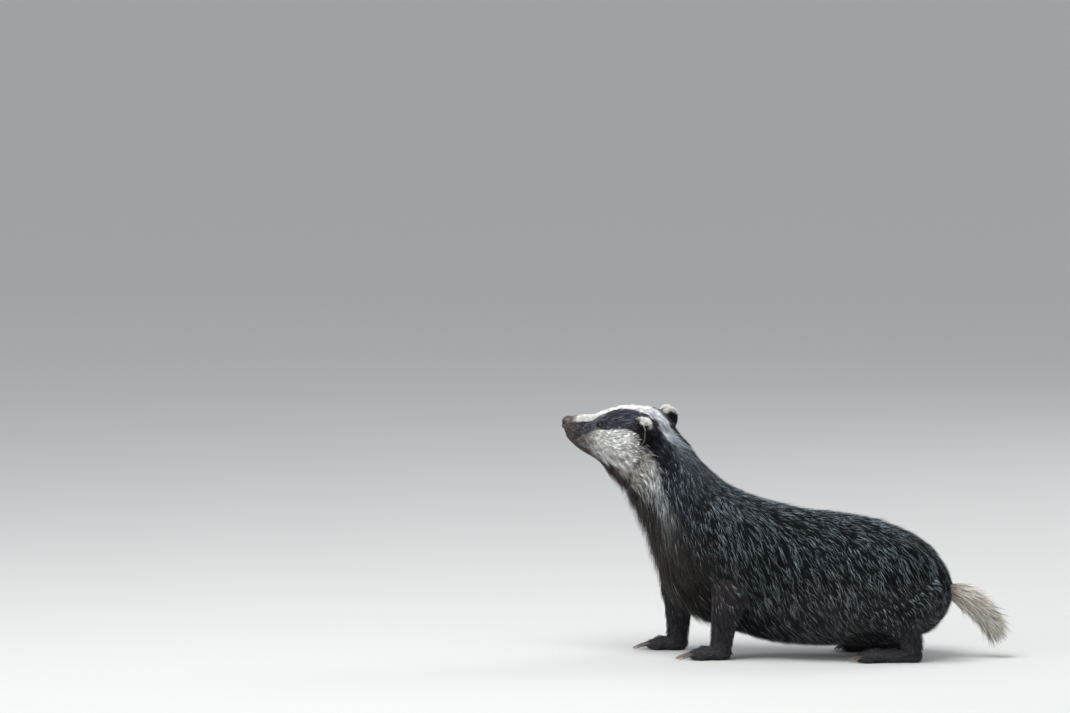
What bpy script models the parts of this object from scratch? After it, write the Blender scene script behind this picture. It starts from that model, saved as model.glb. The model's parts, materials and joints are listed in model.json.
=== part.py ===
"""European badger, life size, standing alert with its head raised and turned a little to its right.

Metres, +Z up, the floor at z = 0. The nose points along -X and the animal's left side is -Y.
One lofted surface runs from the rump to the muzzle. The legs, tail, ears, nose and claws are
placed on it, and flat, tapered locks of the bristly coat grow out of it.
"""

import bmesh
import bpy
import numpy as np
from mathutils import Matrix, Vector

MM = 0.001
SEAM = 0.3 * MM
LEFT, RIGHT = -1, 1
SEED = 11

# Where the frame's origin lies under the drawn animal: the middle of its footprint.
ORIGIN = np.array([34.0, 0.0, 0.0])

# A box round the whole drawn animal, in mm, from which the blocks that cut at a level are made.
ROOM_LOW, ROOM_HIGH = (-400, -300, -100), (500, 300, 400)

# The head is turned to the animal's right, and its crown leans to the left.
HEAD_TURN = np.radians(-14.0)
HEAD_ROLL = np.radians(9.0)
NOSE_TIP = np.array([-283.0, 52.0, 314.8])

# Stations of the trunk, rump to neck, in mm: back x, y, z, belly x, y, z, half width, squareness
# of the section, height of its widest level, and how much narrower it grows towards the belly.
TRUNK = (
    (270, 0, 97, 269, 0, 89, 4, 2.0, 0.00, 0.00),
    (267, 0, 113, 262, 0, 70, 25, 2.0, 0.00, 0.00),
    (256, 0, 134, 247, 0, 48, 48, 2.1, -0.05, 0.00),
    (235, 0, 158, 222, 0, 34, 67, 2.2, -0.10, 0.04),
    (205, 0, 177, 190, 0, 26, 80, 2.2, -0.12, 0.08),
    (165, 0, 192, 150, 0, 22, 87, 2.2, -0.14, 0.04),
    (118, 0, 201, 105, 0, 20, 89, 2.2, -0.14, -0.02),
    (68, 0, 206, 58, 0, 20, 88, 2.2, -0.12, 0.00),
    (22, 0, 215, 10, 0, 25, 85, 2.2, -0.06, 0.12),
    (-18, 0, 227, -45, 0, 42, 80, 2.2, -0.02, 0.26),
    (-46, 0, 240, -95, 0, 66, 75, 2.2, -0.02, 0.26),
    (-68, 1, 256, -128, 2, 100, 69, 2.2, -0.04, 0.16),
    (-84, 4, 271, -145, 9, 142, 60, 2.1, -0.03, 0.08),
    (-97, 7, 285, -157, 19, 176, 52, 2.1, 0.00, 0.05),
    (-109, 10, 299, -169, 28, 196, 47, 2.1, 0.00, 0.05),
)

# Stations of the head, nape to muzzle, in mm from the nose tip: crown back and up, throat
# back and up, half width, squareness, widest level and taper, as above.
HEAD = (
    (163, -1, 104, -107, 45.0, 2.1, 0.00, 0.06),
    (156, 14, 97, -95, 45.0, 2.1, 0.02, 0.08),
    (143, 26, 89, -84, 45.5, 2.1, 0.02, 0.10),
    (127, 30.5, 81, -74, 46.0, 2.1, 0.00, 0.10),
    (110, 31.2, 73, -64.5, 44.5, 2.1, 0.00, 0.12),
    (93, 29.8, 65, -55.5, 40.5, 2.1, 0.00, 0.12),
    (77, 27.5, 56.5, -48.5, 35.0, 2.1, 0.00, 0.12),
    (63, 24, 46, -42.5, 28.5, 2.1, -0.02, 0.10),
    (49, 17.8, 35, -37, 23.0, 2.2, -0.04, 0.10),
    (34, 16.6, 23, -29.5, 19.5, 2.3, -0.04, 0.10),
    (21, 16, 14, -21.5, 17.0, 2.3, -0.02, 0.08),
    (11.5, 13.5, 8.5, -16, 13.0, 2.2, 0.00, 0.05),
    (6.5, 8, 5.5, -10, 8.0, 2.0, 0.00, 0.00),
)
NECK_AT = 11.45  # station where torso and neck part
HEAD_AT = 15.7  # station where neck and head part, behind the ears
MUZZLE_AT = float(len(TRUNK) + len(HEAD) - 1)
FRAME_REACH = 1.2  # stations each way over which a section reads the body's direction
PLANE_BLOCK = 1.6  # metres, larger than the animal

# Depth of the coat over the skin at stations, and the share of it that the core takes.
COAT_STATIONS = (0.0, 3.0, 8.0, 11.0, 14.0, 17.0, 20.0, 27.0)
COAT_DEPTHS = (14.0, 14.0, 13.0, 12.0, 11.0, 6.0, 2.4, 1.2)
CORE_SHARE = 0.5


def head_to_frame(points):
    """Head-local points (mm back, right, up from the nose tip) in the frame, before ORIGIN."""
    turn = np.array(Matrix.Rotation(HEAD_TURN, 3, "Z") @ Matrix.Rotation(HEAD_ROLL, 3, "X"))
    return np.asarray(points, float) @ turn.T + NOSE_TIP


def head_axis(direction):
    """A head-local direction turned into the frame."""
    turn = np.array(Matrix.Rotation(HEAD_TURN, 3, "Z") @ Matrix.Rotation(HEAD_ROLL, 3, "X"))
    return np.asarray(direction, float) @ turn.T


def station_rows():
    """Every station from rump to muzzle: back point, belly point and the four section values."""
    rows = list(TRUNK)
    for back, up, low_back, low_up, width, square, low, taper in HEAD:
        crown, throat = head_to_frame([(back, 0, up), (low_back, 0, low_up)])
        rows.append((*crown, *throat, width, square, low, taper))
    return np.array(rows, float)


ROWS = station_rows()


def spline(rows, t):
    """Catmull-Rom curve through rows at 0, 1, 2 and so on, read at the values t."""
    t = np.clip(np.asarray(t, float), 0.0, len(rows) - 1.0)
    i = np.minimum(t.astype(int), len(rows) - 2)
    f = (t - i)[..., None]
    before, here = rows[np.maximum(i - 1, 0)], rows[i]
    after, beyond = rows[i + 1], rows[np.minimum(i + 2, len(rows) - 1)]
    return 0.5 * (
        2 * here
        + (after - before) * f
        + (2 * before - 5 * here + 4 * after - beyond) * f**2
        + (3 * here - before - 3 * after + beyond) * f**3
    )


def outline(t, angle):
    """Point of the coat's outer form at station t. Angle 0 is the left side and 90 degrees the back.

    The section is a superellipse between the back point and the belly point. Its widest level
    moves up or down, and its width tapers towards the belly.
    """
    t, angle = np.broadcast_arrays(np.asarray(t, float), np.asarray(angle, float))
    row = spline(ROWS, t)
    ahead = spline(ROWS, t + FRAME_REACH)
    behind = spline(ROWS, t - FRAME_REACH)
    middle = (row[..., 0:3] + row[..., 3:6]) / 2
    upward = (row[..., 0:3] - row[..., 3:6]) / 2
    along = (ahead[..., 0:3] + ahead[..., 3:6] - behind[..., 0:3] - behind[..., 3:6]) / 2
    left = np.cross(upward, along)
    left /= np.linalg.norm(left, axis=-1, keepdims=True)
    width, square, low, taper = np.moveaxis(row[..., 6:10], -1, 0)
    power = 2 / square
    across = np.sign(np.cos(angle)) * np.abs(np.cos(angle)) ** power
    height = np.sign(np.sin(angle)) * np.abs(np.sin(angle)) ** power
    across = across * (1 + taper * height)
    height = height + low * (1 - height**2)
    return middle + upward * height[..., None] + left * (width * across)[..., None]


def normal_at(t, angle):
    """Outward unit normal of the outline."""
    d_t = outline(np.asarray(t) + 0.02, angle) - outline(np.asarray(t) - 0.02, angle)
    d_a = outline(t, np.asarray(angle) + 0.01) - outline(t, np.asarray(angle) - 0.01)
    normal = np.cross(d_a, d_t)
    length = np.linalg.norm(normal, axis=-1, keepdims=True)
    return normal / np.maximum(length, 1e-9)


def coat_depth(t):
    return np.interp(t, COAT_STATIONS, COAT_DEPTHS)


# Swellings and hollows of the head: mm back, out to the side, up, then reach and height.
HEAD_FORMS = (
    (64, 24, 17, 9, 2.2),
    (66, 30, 9, 8, -2.6),
    (100, 46, -22, 26, 3.5),
    (27, 18, -10, 12, 2.4),
    (46, 21, 4, 13, -1.6),
    (92, 16, 30, 20, 1.8),
    (18, 0, 15, 4, -0.5),
)

# The same for shoulders, flanks and haunches, as points of the drawn animal.
BODY_FORMS = (
    (-52, -62, 140, 62, 9.0),
    (-100, 50, 140, 62, 10.0),
    (188, -82, 100, 80, 8.0),
    (172, 82, 100, 80, 8.0),
    (10, -88, 110, 60, -5.0),
    (-10, 88, 110, 60, -5.0),
)


def swellings():
    """Centres, reaches and heights of every bell-shaped swelling, in drawn millimetres."""
    forms = [(*at, reach, rise) for *at, reach, rise in BODY_FORMS]
    for back, side, up, reach, rise in HEAD_FORMS:
        for hand in (LEFT, RIGHT):
            forms.append((*head_to_frame([(back, hand * side, up)])[0], reach, rise))
    return forms


FORMS = swellings()


def shaped(points, normals):
    """Points moved along their normals by soft swellings and hollows."""
    height = np.zeros(points.shape[:-1])
    for *centre, reach, rise in FORMS:
        away = ((points - np.array(centre)) ** 2).sum(-1)
        height = height + rise * np.exp(-away / (2 * (reach / 2) ** 2))
    return points + normals * height[..., None]


def surface(t, angle, inset):
    """Point of a form that lies inset mm inside the outline, with the head's forms on it."""
    points, normals = outline(t, angle), normal_at(t, angle)
    inset = np.broadcast_to(inset, points.shape[:-1])
    return shaped(points - normals * inset[..., None], normals)


def framed(points):
    """Drawn millimetres as metres of the frame."""
    return (np.asarray(points) - ORIGIN) * MM


def mesh_object(name, points, faces):
    mesh = bpy.data.meshes.new(name)
    mesh.from_pydata([tuple(p) for p in points], [], faces)
    made = bpy.data.objects.new(name, mesh)
    bpy.context.scene.collection.objects.link(made)
    return made


def outward(made):
    """Doubles merged and faces turned out."""
    form = bmesh.new()
    form.from_mesh(made.data)
    bmesh.ops.remove_doubles(form, verts=form.verts, dist=0.02 * MM)
    bmesh.ops.dissolve_degenerate(form, edges=form.edges, dist=0.01 * MM)
    bmesh.ops.recalc_face_normals(form, faces=form.faces)
    form.to_mesh(made.data)
    form.free()
    return made


def loft(name, rings):
    """Closed form through rings of points, (rings, points, 3), with a fan over each end."""
    count, around = rings.shape[:2]
    points = np.concatenate([rings.reshape(-1, 3), [rings[0].mean(0)], [rings[-1].mean(0)]])
    first, last = count * around, count * around + 1
    faces = []
    for i in range(count - 1):
        for j in range(around):
            k = (j + 1) % around
            faces.append((i * around + j, i * around + k, (i + 1) * around + k, (i + 1) * around + j))
    for j in range(around):
        k = (j + 1) % around
        faces.append((first, k, j))
        faces.append((last, (count - 1) * around + j, (count - 1) * around + k))
    return outward(mesh_object(name, framed(points), faces))


def body_loft(name, start, end, count, around, share, grow=0.0):
    """The stretch of the body between two stations, inset by a share of the coat's depth."""
    t = np.linspace(start, end, count)
    angle = np.linspace(0, 2 * np.pi, around, endpoint=False)
    t, angle = np.meshgrid(t, angle, indexing="ij")
    return loft(name, surface(t, angle, coat_depth(t) * share - grow))


def limb_rings(path, radii, count, around, grow=0.0, level=True):
    """Rings round a smooth path of (x, y, z) points, with (fore-aft, sideways) half widths.

    A leg's rings lie level, and a tail's stand square to the path.
    """
    path = np.array(path, float)
    t = np.linspace(0, len(path) - 1, count)
    middle = spline(path, t)
    along = spline(path, t + 0.05) - spline(path, t - 0.05)
    if level:
        along = np.tile([0.0, 0.0, -1.0], (count, 1))
    along /= np.linalg.norm(along, axis=1, keepdims=True)
    sideways = np.tile([0.0, 1.0, 0.0], (count, 1))
    fore = np.cross(sideways, along)
    fore /= np.linalg.norm(fore, axis=1, keepdims=True)
    size = spline(np.array(radii, float), t) + grow
    angle = np.linspace(0, 2 * np.pi, around, endpoint=False)
    return (
        middle[:, None]
        + fore[:, None] * (size[:, None, 0:1] * np.cos(angle)[None, :, None])
        + sideways[:, None] * (size[:, None, 1:2] * np.sin(angle)[None, :, None])
    )


def ball(name, centre, radii, turn=None, segments=12, rings=8, square=2.0):
    """Ellipsoid with half axes in mm, turned by a 3 by 3 matrix whose columns are its axes.

    A squareness over 2 fills its corners out, as the nose pad's are.
    """
    form = bmesh.new()
    bmesh.ops.create_uvsphere(form, u_segments=segments, v_segments=rings, radius=1.0)
    for vert in form.verts:
        vert.co /= sum(abs(c) ** square for c in vert.co) ** (1 / square)
    shape = Matrix.Diagonal([r * MM for r in radii]).to_4x4()
    place = Matrix.Identity(4) if turn is None else Matrix([list(r) for r in turn]).to_4x4()
    form.transform(Matrix.Translation(Vector(framed(centre))) @ place @ shape)
    mesh = bpy.data.meshes.new(name)
    form.to_mesh(mesh)
    form.free()
    made = bpy.data.objects.new(name, mesh)
    bpy.context.scene.collection.objects.link(made)
    return made


def block(name, low, high):
    """Box between two corners in mm."""
    form = bmesh.new()
    bmesh.ops.create_cube(form, size=1.0)
    low, high = framed(low), framed(high)
    for vert in form.verts:
        share = np.array(vert.co) + 0.5
        vert.co = Vector(low + (high - low) * share)
    mesh = bpy.data.meshes.new(name)
    form.to_mesh(mesh)
    form.free()
    made = bpy.data.objects.new(name, mesh)
    bpy.context.scene.collection.objects.link(made)
    return made


def below(level):
    """Everything under a level."""
    return block("below", ROOM_LOW, (*ROOM_HIGH[:2], level))


def above(level):
    """Everything over a level."""
    return block("above", (*ROOM_LOW[:2], level), ROOM_HIGH)


def drop(made):
    mesh = made.data
    bpy.data.objects.remove(made)
    bpy.data.meshes.remove(mesh)


def applied(made):
    """The object with its modifiers worked into its mesh."""
    bpy.context.view_layer.update()
    graph = bpy.context.evaluated_depsgraph_get()
    mesh = bpy.data.meshes.new_from_object(made.evaluated_get(graph))
    old, made.data = made.data, mesh
    made.modifiers.clear()
    bpy.data.meshes.remove(old)
    return made


def joined(name, base, others, solver="MANIFOLD"):
    """One Boolean union of the base and the collection of other closed pieces."""
    base.name = name
    if not others:
        return base
    heap = bpy.data.collections.new(name + "_pieces")
    bpy.context.scene.collection.children.link(heap)
    for piece in others:
        heap.objects.link(piece)
    union = base.modifiers.new("join", "BOOLEAN")
    union.operation = "UNION"
    union.operand_type = "COLLECTION"
    union.collection = heap
    union.solver = solver
    applied(base)
    for piece in others:
        drop(piece)
    bpy.data.collections.remove(heap)
    return base


def trimmed(made, cutter, keep_inside=False, solver="MANIFOLD", spare=False):
    """The object less the cutter, or only what lies in it. The cutter is removed unless spared."""
    cut = made.modifiers.new("cut", "BOOLEAN")
    cut.operation = "INTERSECT" if keep_inside else "DIFFERENCE"
    cut.object = cutter
    cut.solver = solver
    applied(made)
    if not spare:
        drop(cutter)
    return made


def largest(made):
    """Only the largest closed surface, which fills sealed pockets and drops loose scraps."""
    form = bmesh.new()
    form.from_mesh(made.data)
    bmesh.ops.triangulate(form, faces=form.faces)
    left, shells = set(form.verts), []
    while left:
        shell, edge = set(), [left.pop()]
        while edge:
            vert = edge.pop()
            shell.add(vert)
            for link in vert.link_edges:
                other = link.other_vert(vert)
                if other in left:
                    left.remove(other)
                    edge.append(other)
        shells.append(shell)
    sizes = [
        abs(sum(f.calc_area() for f in {f for v in shell for f in v.link_faces})) for shell in shells
    ]
    kept = shells[int(np.argmax(sizes))]
    bmesh.ops.delete(form, geom=[v for v in form.verts if v not in kept], context="VERTS")
    form.to_mesh(made.data)
    form.free()
    return made


def material(name, colour, roughness):
    finish = bpy.data.materials.new(name)
    finish.use_nodes = True
    shader = finish.node_tree.nodes["Principled BSDF"]
    shader.inputs["Base Color"].default_value = (*colour, 1.0)
    shader.inputs["Roughness"].default_value = roughness
    shader.inputs["Metallic"].default_value = 0.0
    return finish


def finished(made, finish, sharp=60.0):
    """Material, smooth shading, and a place in the badger's collection."""
    made.data.materials.clear()
    made.data.materials.append(finish)
    made.data.shade_smooth()
    made.data.set_sharp_from_angle(angle=np.radians(sharp))
    for home in list(made.users_collection):
        home.objects.unlink(made)
    bpy.data.collections["badger"].objects.link(made)
    return made


def plane_block(name, t, ahead):
    """A large block whose one face is the section plane at station t, on its head side or rump side."""
    row = spline(ROWS, t)
    middle, upward = (row[0:3] + row[3:6]) / 2, (row[0:3] - row[3:6]) / 2
    step = spline(ROWS, t + FRAME_REACH) - spline(ROWS, t - FRAME_REACH)
    along = step[0:3] + step[3:6]
    left = np.cross(upward, along)
    facing = np.cross(left, upward)
    facing /= np.linalg.norm(facing)
    facing *= 1 if ahead else -1
    form = bmesh.new()
    size = PLANE_BLOCK
    bmesh.ops.create_cube(form, size=size)
    turn = Vector(facing).to_track_quat("Z", "Y").to_matrix().to_4x4()
    start = Vector(framed(middle)) + Vector(facing) * (size / 2 - SEAM / 2)
    form.transform(Matrix.Translation(start) @ turn)
    mesh = bpy.data.meshes.new(name)
    form.to_mesh(mesh)
    form.free()
    made = bpy.data.objects.new(name, mesh)
    bpy.context.scene.collection.objects.link(made)
    return made


# Legs, in mm: points of the bone line from the girdle to the foot, then half widths fore-aft and
# sideways at each. The far foreleg leads, and the hind feet stand nearly level.
FORE_PATHS = {
    LEFT: (
        (-50, -22, 188), (-52, -38, 158), (-46, -51, 128), (-38, -58, 98),
        (-43, -60, 66), (-48, -59, 38), (-50, -59, 14),
    ),
    RIGHT: (
        (-74, 16, 188), (-92, 32, 158), (-107, 45, 128), (-116, 53, 98),
        (-119, 57, 66), (-120, 57, 38), (-120, 57, 14),
    ),
}
HIND_PATHS = {
    LEFT: ((205, -38, 130), (196, -54, 104), (178, -64, 76), (192, -66, 54), (212, -64, 32), (216, -64, 14)),
    RIGHT: ((195, 38, 130), (182, 54, 104), (156, 64, 76), (166, 66, 54), (184, 64, 32), (188, 64, 14)),
}
FORE_SIZE = ((18, 12), (30, 18), (32, 21), (27, 21), (19.5, 18), (16, 15.5), (15, 16))
HIND_SIZE = ((34, 16), (50, 26), (46, 27), (29, 20), (18.5, 14.5), (14, 14))
FORE_TOP, HIND_TOP = 92.0, 74.0  # levels where a leg parts from the torso
BELLY_CLEAR = 3.0  # the belly's locks keep this far off the floor
LIMBS = (("foreleg", FORE_PATHS, FORE_SIZE, FORE_TOP), ("hindleg", HIND_PATHS, HIND_SIZE, HIND_TOP))
SIDES = ((LEFT, "left"), (RIGHT, "right"))
LEG_RINGS, LEG_AROUND = 9, 12

# Feet, in mm: the sole's pads as (ahead, rise, half length, half width, half height) balls ahead
# of the leg's end, then toe and claw sizes. Soles are cut flat on the floor.
FORE_PADS = ((6, 9, 22, 18, 13), (20, 8, 17, 19, 12))
HIND_PADS = ((2, 8, 18, 13, 12), (26, 8, 30, 15, 11.5), (50, 8, 22, 18, 11))
FORE_TOE_AHEAD, HIND_TOE_AHEAD = 34.0, 68.0
TOE_SIZE = (11.0, 4.7, 8.0)
TOE_RISE = 6.5
TOE_SPREAD = 7.8
TOE_BACKSET = (6.0, 1.5, 0.0, 1.5, 5.5)
FORE_CLAW, HIND_CLAW = 23.0, 13.0
CLAW_THICK, CLAW_FLATNESS, CLAW_TIP = 2.5, 0.75, 0.15
CLAW_BACKSET, CLAW_RISE = 3.0, 1.5  # where a claw's root sits in its toe
CLAW_FLOOR = 1.2  # height of the tip over the floor
CLAW_BEND, CLAW_SPLAY = 1.8, 0.10
TOE_COUNT = 5
# Room round each foot that the torso's hair keeps clear: ahead, behind, then inward and outward
# of the middle, and up.
FORE_FOOT_ROOM, HIND_FOOT_ROOM = (62.0, 26.0), (92.0, 22.0)
FOOT_ROOM_ACROSS, FOOT_ROOM_UP = (36.0, 100.0), 24.0
FOOT_SPLAY = np.radians(6.0)


def foot_frame(path, side):
    """Where a leg ends, and the horizontal directions ahead and outward of its splayed foot."""
    end = np.array(path[-1], float) * (1, 1, 0)
    ahead = np.array([-np.cos(FOOT_SPLAY), side * np.sin(FOOT_SPLAY), 0.0])
    across = side * np.array([ahead[1], -ahead[0], 0.0])
    return end, ahead, across


def leg_pieces(path, size, pads, toe_ahead, side, grow=0.0):
    """The leg's column, the balls of its foot and its five toes, all overlapping."""
    end, ahead, across = foot_frame(path, side)
    turn = np.stack([ahead, across, np.cross(ahead, across)], axis=1)
    column = loft("column", limb_rings(path, size, LEG_RINGS, LEG_AROUND, grow))
    pieces = []
    for step, rise, length, width, height in pads:
        centre = end + ahead * step + (0, 0, rise)
        radii = (length + grow, width + grow, height + grow)
        pieces.append(ball("pad", centre, radii, turn, 10, 5))
    for k in range(TOE_COUNT):
        centre = toe_centre(end, ahead, across, toe_ahead, k)
        pieces.append(ball("toe", centre, [r + grow for r in TOE_SIZE], turn, 6, 4))
    return column, pieces


def toe_centre(end, ahead, across, toe_ahead, k):
    offset = (k - (TOE_COUNT - 1) / 2) * TOE_SPREAD
    return end + ahead * (toe_ahead - TOE_BACKSET[k]) + across * offset + (0, 0, TOE_RISE)


def swept(name, path, radii, around, turn_to=None):
    """Tube through path points with a (width, height) half size at each, closed at both ends."""
    path, radii = np.array(path, float), np.array(radii, float)
    along = np.gradient(path, axis=0)
    along /= np.linalg.norm(along, axis=1, keepdims=True)
    upward = np.array([0.0, 0.0, 1.0]) if turn_to is None else np.array(turn_to, float)
    side = np.cross(upward, along)
    side /= np.linalg.norm(side, axis=1, keepdims=True)
    top = np.cross(along, side)
    angle = np.linspace(0, 2 * np.pi, around, endpoint=False)
    rings = (
        path[:, None]
        + side[:, None] * (radii[:, None, 0:1] * np.cos(angle)[None, :, None])
        + top[:, None] * (radii[:, None, 1:2] * np.sin(angle)[None, :, None])
    )
    return loft(name, rings)


def claw(name, path, side, toe_ahead, length, k):
    """Long digging claw: a tapered horn that leaves the toe's tip and bends down to the floor."""
    end, ahead, across = foot_frame(path, side)
    start = toe_centre(end, ahead, across, toe_ahead, k)
    start = start + ahead * (TOE_SIZE[0] - CLAW_BACKSET) + (0, 0, CLAW_RISE)
    splay = across * (k - (TOE_COUNT - 1) / 2) * CLAW_SPLAY
    share = np.linspace(0, 1, 4)[:, None]
    fall = np.array([0, 0, -1.0]) * (start[2] - CLAW_FLOOR) * share**CLAW_BEND
    line = start + (ahead + splay) * (length * share) + fall
    thick = CLAW_THICK * (1 - (1 - CLAW_TIP) * share[:, 0] ** 1.3)
    made = swept(name, line, np.stack([thick * CLAW_FLATNESS, thick], axis=1), 5)
    turn = np.stack([ahead, across, np.cross(ahead, across)], axis=1)
    room = [size + SEAM / MM for size in TOE_SIZE]
    for toe in range(max(k - 1, 0), min(k + 2, TOE_COUNT)):
        centre = toe_centre(end, ahead, across, toe_ahead, toe)
        trimmed(made, ball("toe_room", centre, room, turn, 6, 4))
    return largest(made)


# Ear, in head millimetres on the right side: its root's middle, the direction that it stands in,
# the way that its hollow faces, then half width, height and thickness.
EAR_ROOT = np.array([137.0, 39.0, -6.0])
EAR_STANDS = np.array([0.42, 0.40, 0.82])
EAR_FACES = np.array([-0.80, 0.58, 0.0])
EAR_HALF_WIDTH, EAR_TALL, EAR_HALF_THICK = 17.5, 34.0, 11.0
EAR_WALL = 2.2
EAR_SUNK = 0.38  # the ear ball's middle stands this share of its height over the root
EAR_MOUTH = (1.3, 1.3, 0.72)  # half sizes of the ball that opens the cup, as shares of the ear's
EAR_MOUTH_AHEAD = 1.15

EYE = np.array([65.0, 24.0, 10.0])
EYE_RADIUS = 5.4
EYE_DEPTH = 4.4
LID = 1.3
EYE_OPENING = (5.0, 3.5)
OPENING_DEPTH = 7.0

NOSE_MIDDLE = np.array([10.5, 0.0, 5.0])
NOSE_SIZE = (10.5, 12.0, 9.5)
NOSE_SQUARENESS = 2.6
NOSE_TILT = np.radians(-14.0)
NOSTRIL = np.array([1.2, 6.0, 4.5])
NOSTRIL_SIZE = (4.0, 2.2, 2.6)
MOUTH_LINE = ((10, 0, -12), (12, 7, -12.5), (20, 13, -13.5), (31, 17, -16), (42, 20, -20.5), (52, 23, -26))
MOUTH_RADIUS = 1.1


def mirrored(point, side):
    return np.array(point, float) * (1, side, 1)


HEAD_GRID_T = np.linspace(HEAD_AT, MUZZLE_AT, 200)
HEAD_GRID_ANGLE = np.linspace(0, 2 * np.pi, 240, endpoint=False)


def nearest_on_head(points, inset_share=CORE_SHARE):
    """Nearest points of the head's surface to head-local points, with the normals there."""
    t, angle = np.meshgrid(HEAD_GRID_T, HEAD_GRID_ANGLE, indexing="ij")
    spots = surface(t, angle, coat_depth(t) * inset_share).reshape(-1, 3)
    normals = normal_at(t, angle).reshape(-1, 3)
    wanted = head_to_frame(points)
    nearest = [int(np.argmin(((spots - point) ** 2).sum(1))) for point in wanted]
    return spots[nearest], normals[nearest]


def frame_from(normal, upward):
    """Matrix whose columns are a right-hand set: across, upward made square to normal, and normal."""
    normal = np.array(normal, float) / np.linalg.norm(normal)
    across = np.cross(upward, normal)
    across /= np.linalg.norm(across)
    return np.stack([across, np.cross(normal, across), normal], axis=1)


def eye_place(side):
    spot, normal = nearest_on_head([mirrored(EYE, side)])
    return spot[0] - normal[0] * EYE_DEPTH, normal[0]


def ear(name, side):
    """A rounded cup: half an ellipsoid's shell, open to the front and side, standing on the head."""
    root = head_to_frame([mirrored(EAR_ROOT, side)])[0]
    stands = head_axis(mirrored(EAR_STANDS, side))
    faces = head_axis(mirrored(EAR_FACES, side))
    turn = frame_from(faces, stands)
    middle = root + turn[:, 1] * (EAR_TALL * EAR_SUNK)
    size = (EAR_HALF_WIDTH, EAR_TALL * (1 - EAR_SUNK), EAR_HALF_THICK)
    shell = ball(name, middle, size, turn, 14, 9)
    inner = [s - EAR_WALL for s in size[:2]] + [size[2] - 0.5]
    hollow = ball("ear_hollow", middle + turn[:, 2] * (EAR_WALL + 1.5) + turn[:, 1] * 1.0, inner, turn, 14, 9)
    front = middle + turn[:, 2] * (size[2] * EAR_MOUTH_AHEAD)
    mouth = ball("ear_mouth", front, np.array(size) * EAR_MOUTH, turn, 14, 9)
    trimmed(shell, hollow)
    return trimmed(shell, mouth)


# Locks of the coat, in mm: length, half width and thickness of a lock at the middle of its range,
# how deep its root is sunk, and how far apart the roots stand.
LOCK_LENGTH, LOCK_WIDTH, LOCK_THICK = 70.0, 13.0, 3.6
NECK_LOCK, NECK_LOCKS_APART = (48.0, 9.0, 3.2), 30.0
LOCK_SUNK = 6.0
LOCK_APART = 47.0
THROAT_RISE, THROAT_GROWTH = 6.0, 0.25  # how much further the throat's fringe stands out and hangs
SHOULDER_LOCK, HAUNCH_LOCK = (44.0, 9.0), (50.0, 11.0)  # length and half width
LIMB_LOCK_LEAN = 0.35  # how far these lean back as they hang


def droop(t, angle):
    """Angle by which the coat's lie turns down from straight back: most on the flanks and rump."""
    flank = np.abs(np.cos(angle)) ** 0.7
    most = np.interp(t, (0, 3, 5, 9, 11, 14, 17), (80, 66, 52, 46, 34, 18, 12))
    return np.radians(most * flank)


def lock_line(t, angle, length, rise, inset, steps=4):
    """Points and normals along the lie from a root, sunk at first and rising to the coat's tips."""
    points, normals = [], []
    reach = length / (steps - 1)
    for k in range(steps):
        share = k / (steps - 1)
        here = surface(t, angle, inset)
        out = normal_at(t, angle)
        points.append(here + out * (rise * share**1.2 if k else -LOCK_SUNK))
        normals.append(out)
        by_t = (surface(t + 0.02, angle, inset) - surface(t - 0.02, angle, inset)) / 0.04
        by_angle = (surface(t, angle + 0.01, inset) - surface(t, angle - 0.01, inset)) / 0.02
        turn = droop(t, angle)
        towards_belly = -1.0 if np.cos(angle) > 0 else 1.0
        t = t - np.cos(turn) * reach / np.linalg.norm(by_t)
        angle = angle + towards_belly * np.sin(turn) * reach / np.linalg.norm(by_angle)
        t = max(t, 0.35)
    return np.array(points), np.array(normals)


def lock(points, normals, width, thick, twist):
    """Flat, tapered lock of rhombus section through points, closed at the root and sharp at the tip."""
    along = np.gradient(points, axis=0)
    along /= np.linalg.norm(along, axis=1, keepdims=True)
    side = np.cross(normals, along)
    side /= np.linalg.norm(side, axis=1, keepdims=True)
    side = side + normals * twist
    side /= np.linalg.norm(side, axis=1, keepdims=True)
    top = np.cross(along, side)
    rings = []
    for k, share in enumerate((0.8, 1.0, 0.72)):
        half, tall = width * share, thick * share / 2
        centre = points[k]
        across, over = side[k] * half, top[k] * tall
        rings.append([centre + across, centre + over, centre - across, centre - over])
    corners = np.array(rings).reshape(-1, 3)
    root = [tuple(range(4))]
    faces = list(root)
    for k in range(2):
        for j in range(4):
            n = (j + 1) % 4
            faces.append((k * 4 + j, k * 4 + n, k * 4 + 4 + n, k * 4 + 4 + j))
    faces += [(8 + j, 8 + (j + 1) % 4, 12) for j in range(4)]
    return outward(mesh_object("lock", framed(np.vstack([corners, points[3:4]])), faces))


def lock_roots(start, end, apart, rng):
    """Staggered rows of roots between two stations, about the same distance apart everywhere."""
    fine = np.linspace(start, end, 400)
    row = spline(ROWS, fine)
    middle = (row[:, 0:3] + row[:, 3:6]) / 2
    run = np.concatenate([[0], np.cumsum(np.linalg.norm(np.diff(middle, axis=0), axis=1))])
    rows = max(1, int(round(run[-1] / apart)))
    roots = []
    for i in range(rows):
        t = float(np.interp((i + 0.5) * run[-1] / rows, run, fine))
        ring = outline(np.full(73, t), np.linspace(0, 2 * np.pi, 73))
        girth = np.concatenate([[0], np.cumsum(np.linalg.norm(np.diff(ring, axis=0), axis=1))])
        count = max(3, int(round(girth[-1] / apart)))
        for j in range(count):
            share = ((j + 0.5 * (i % 2)) / count + rng.uniform(-0.12, 0.12) / count) % 1.0
            angle = float(np.interp(share * girth[-1], girth, np.linspace(0, 2 * np.pi, 73)))
            roots.append((t + rng.uniform(-0.08, 0.08), angle))
    return roots


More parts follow.
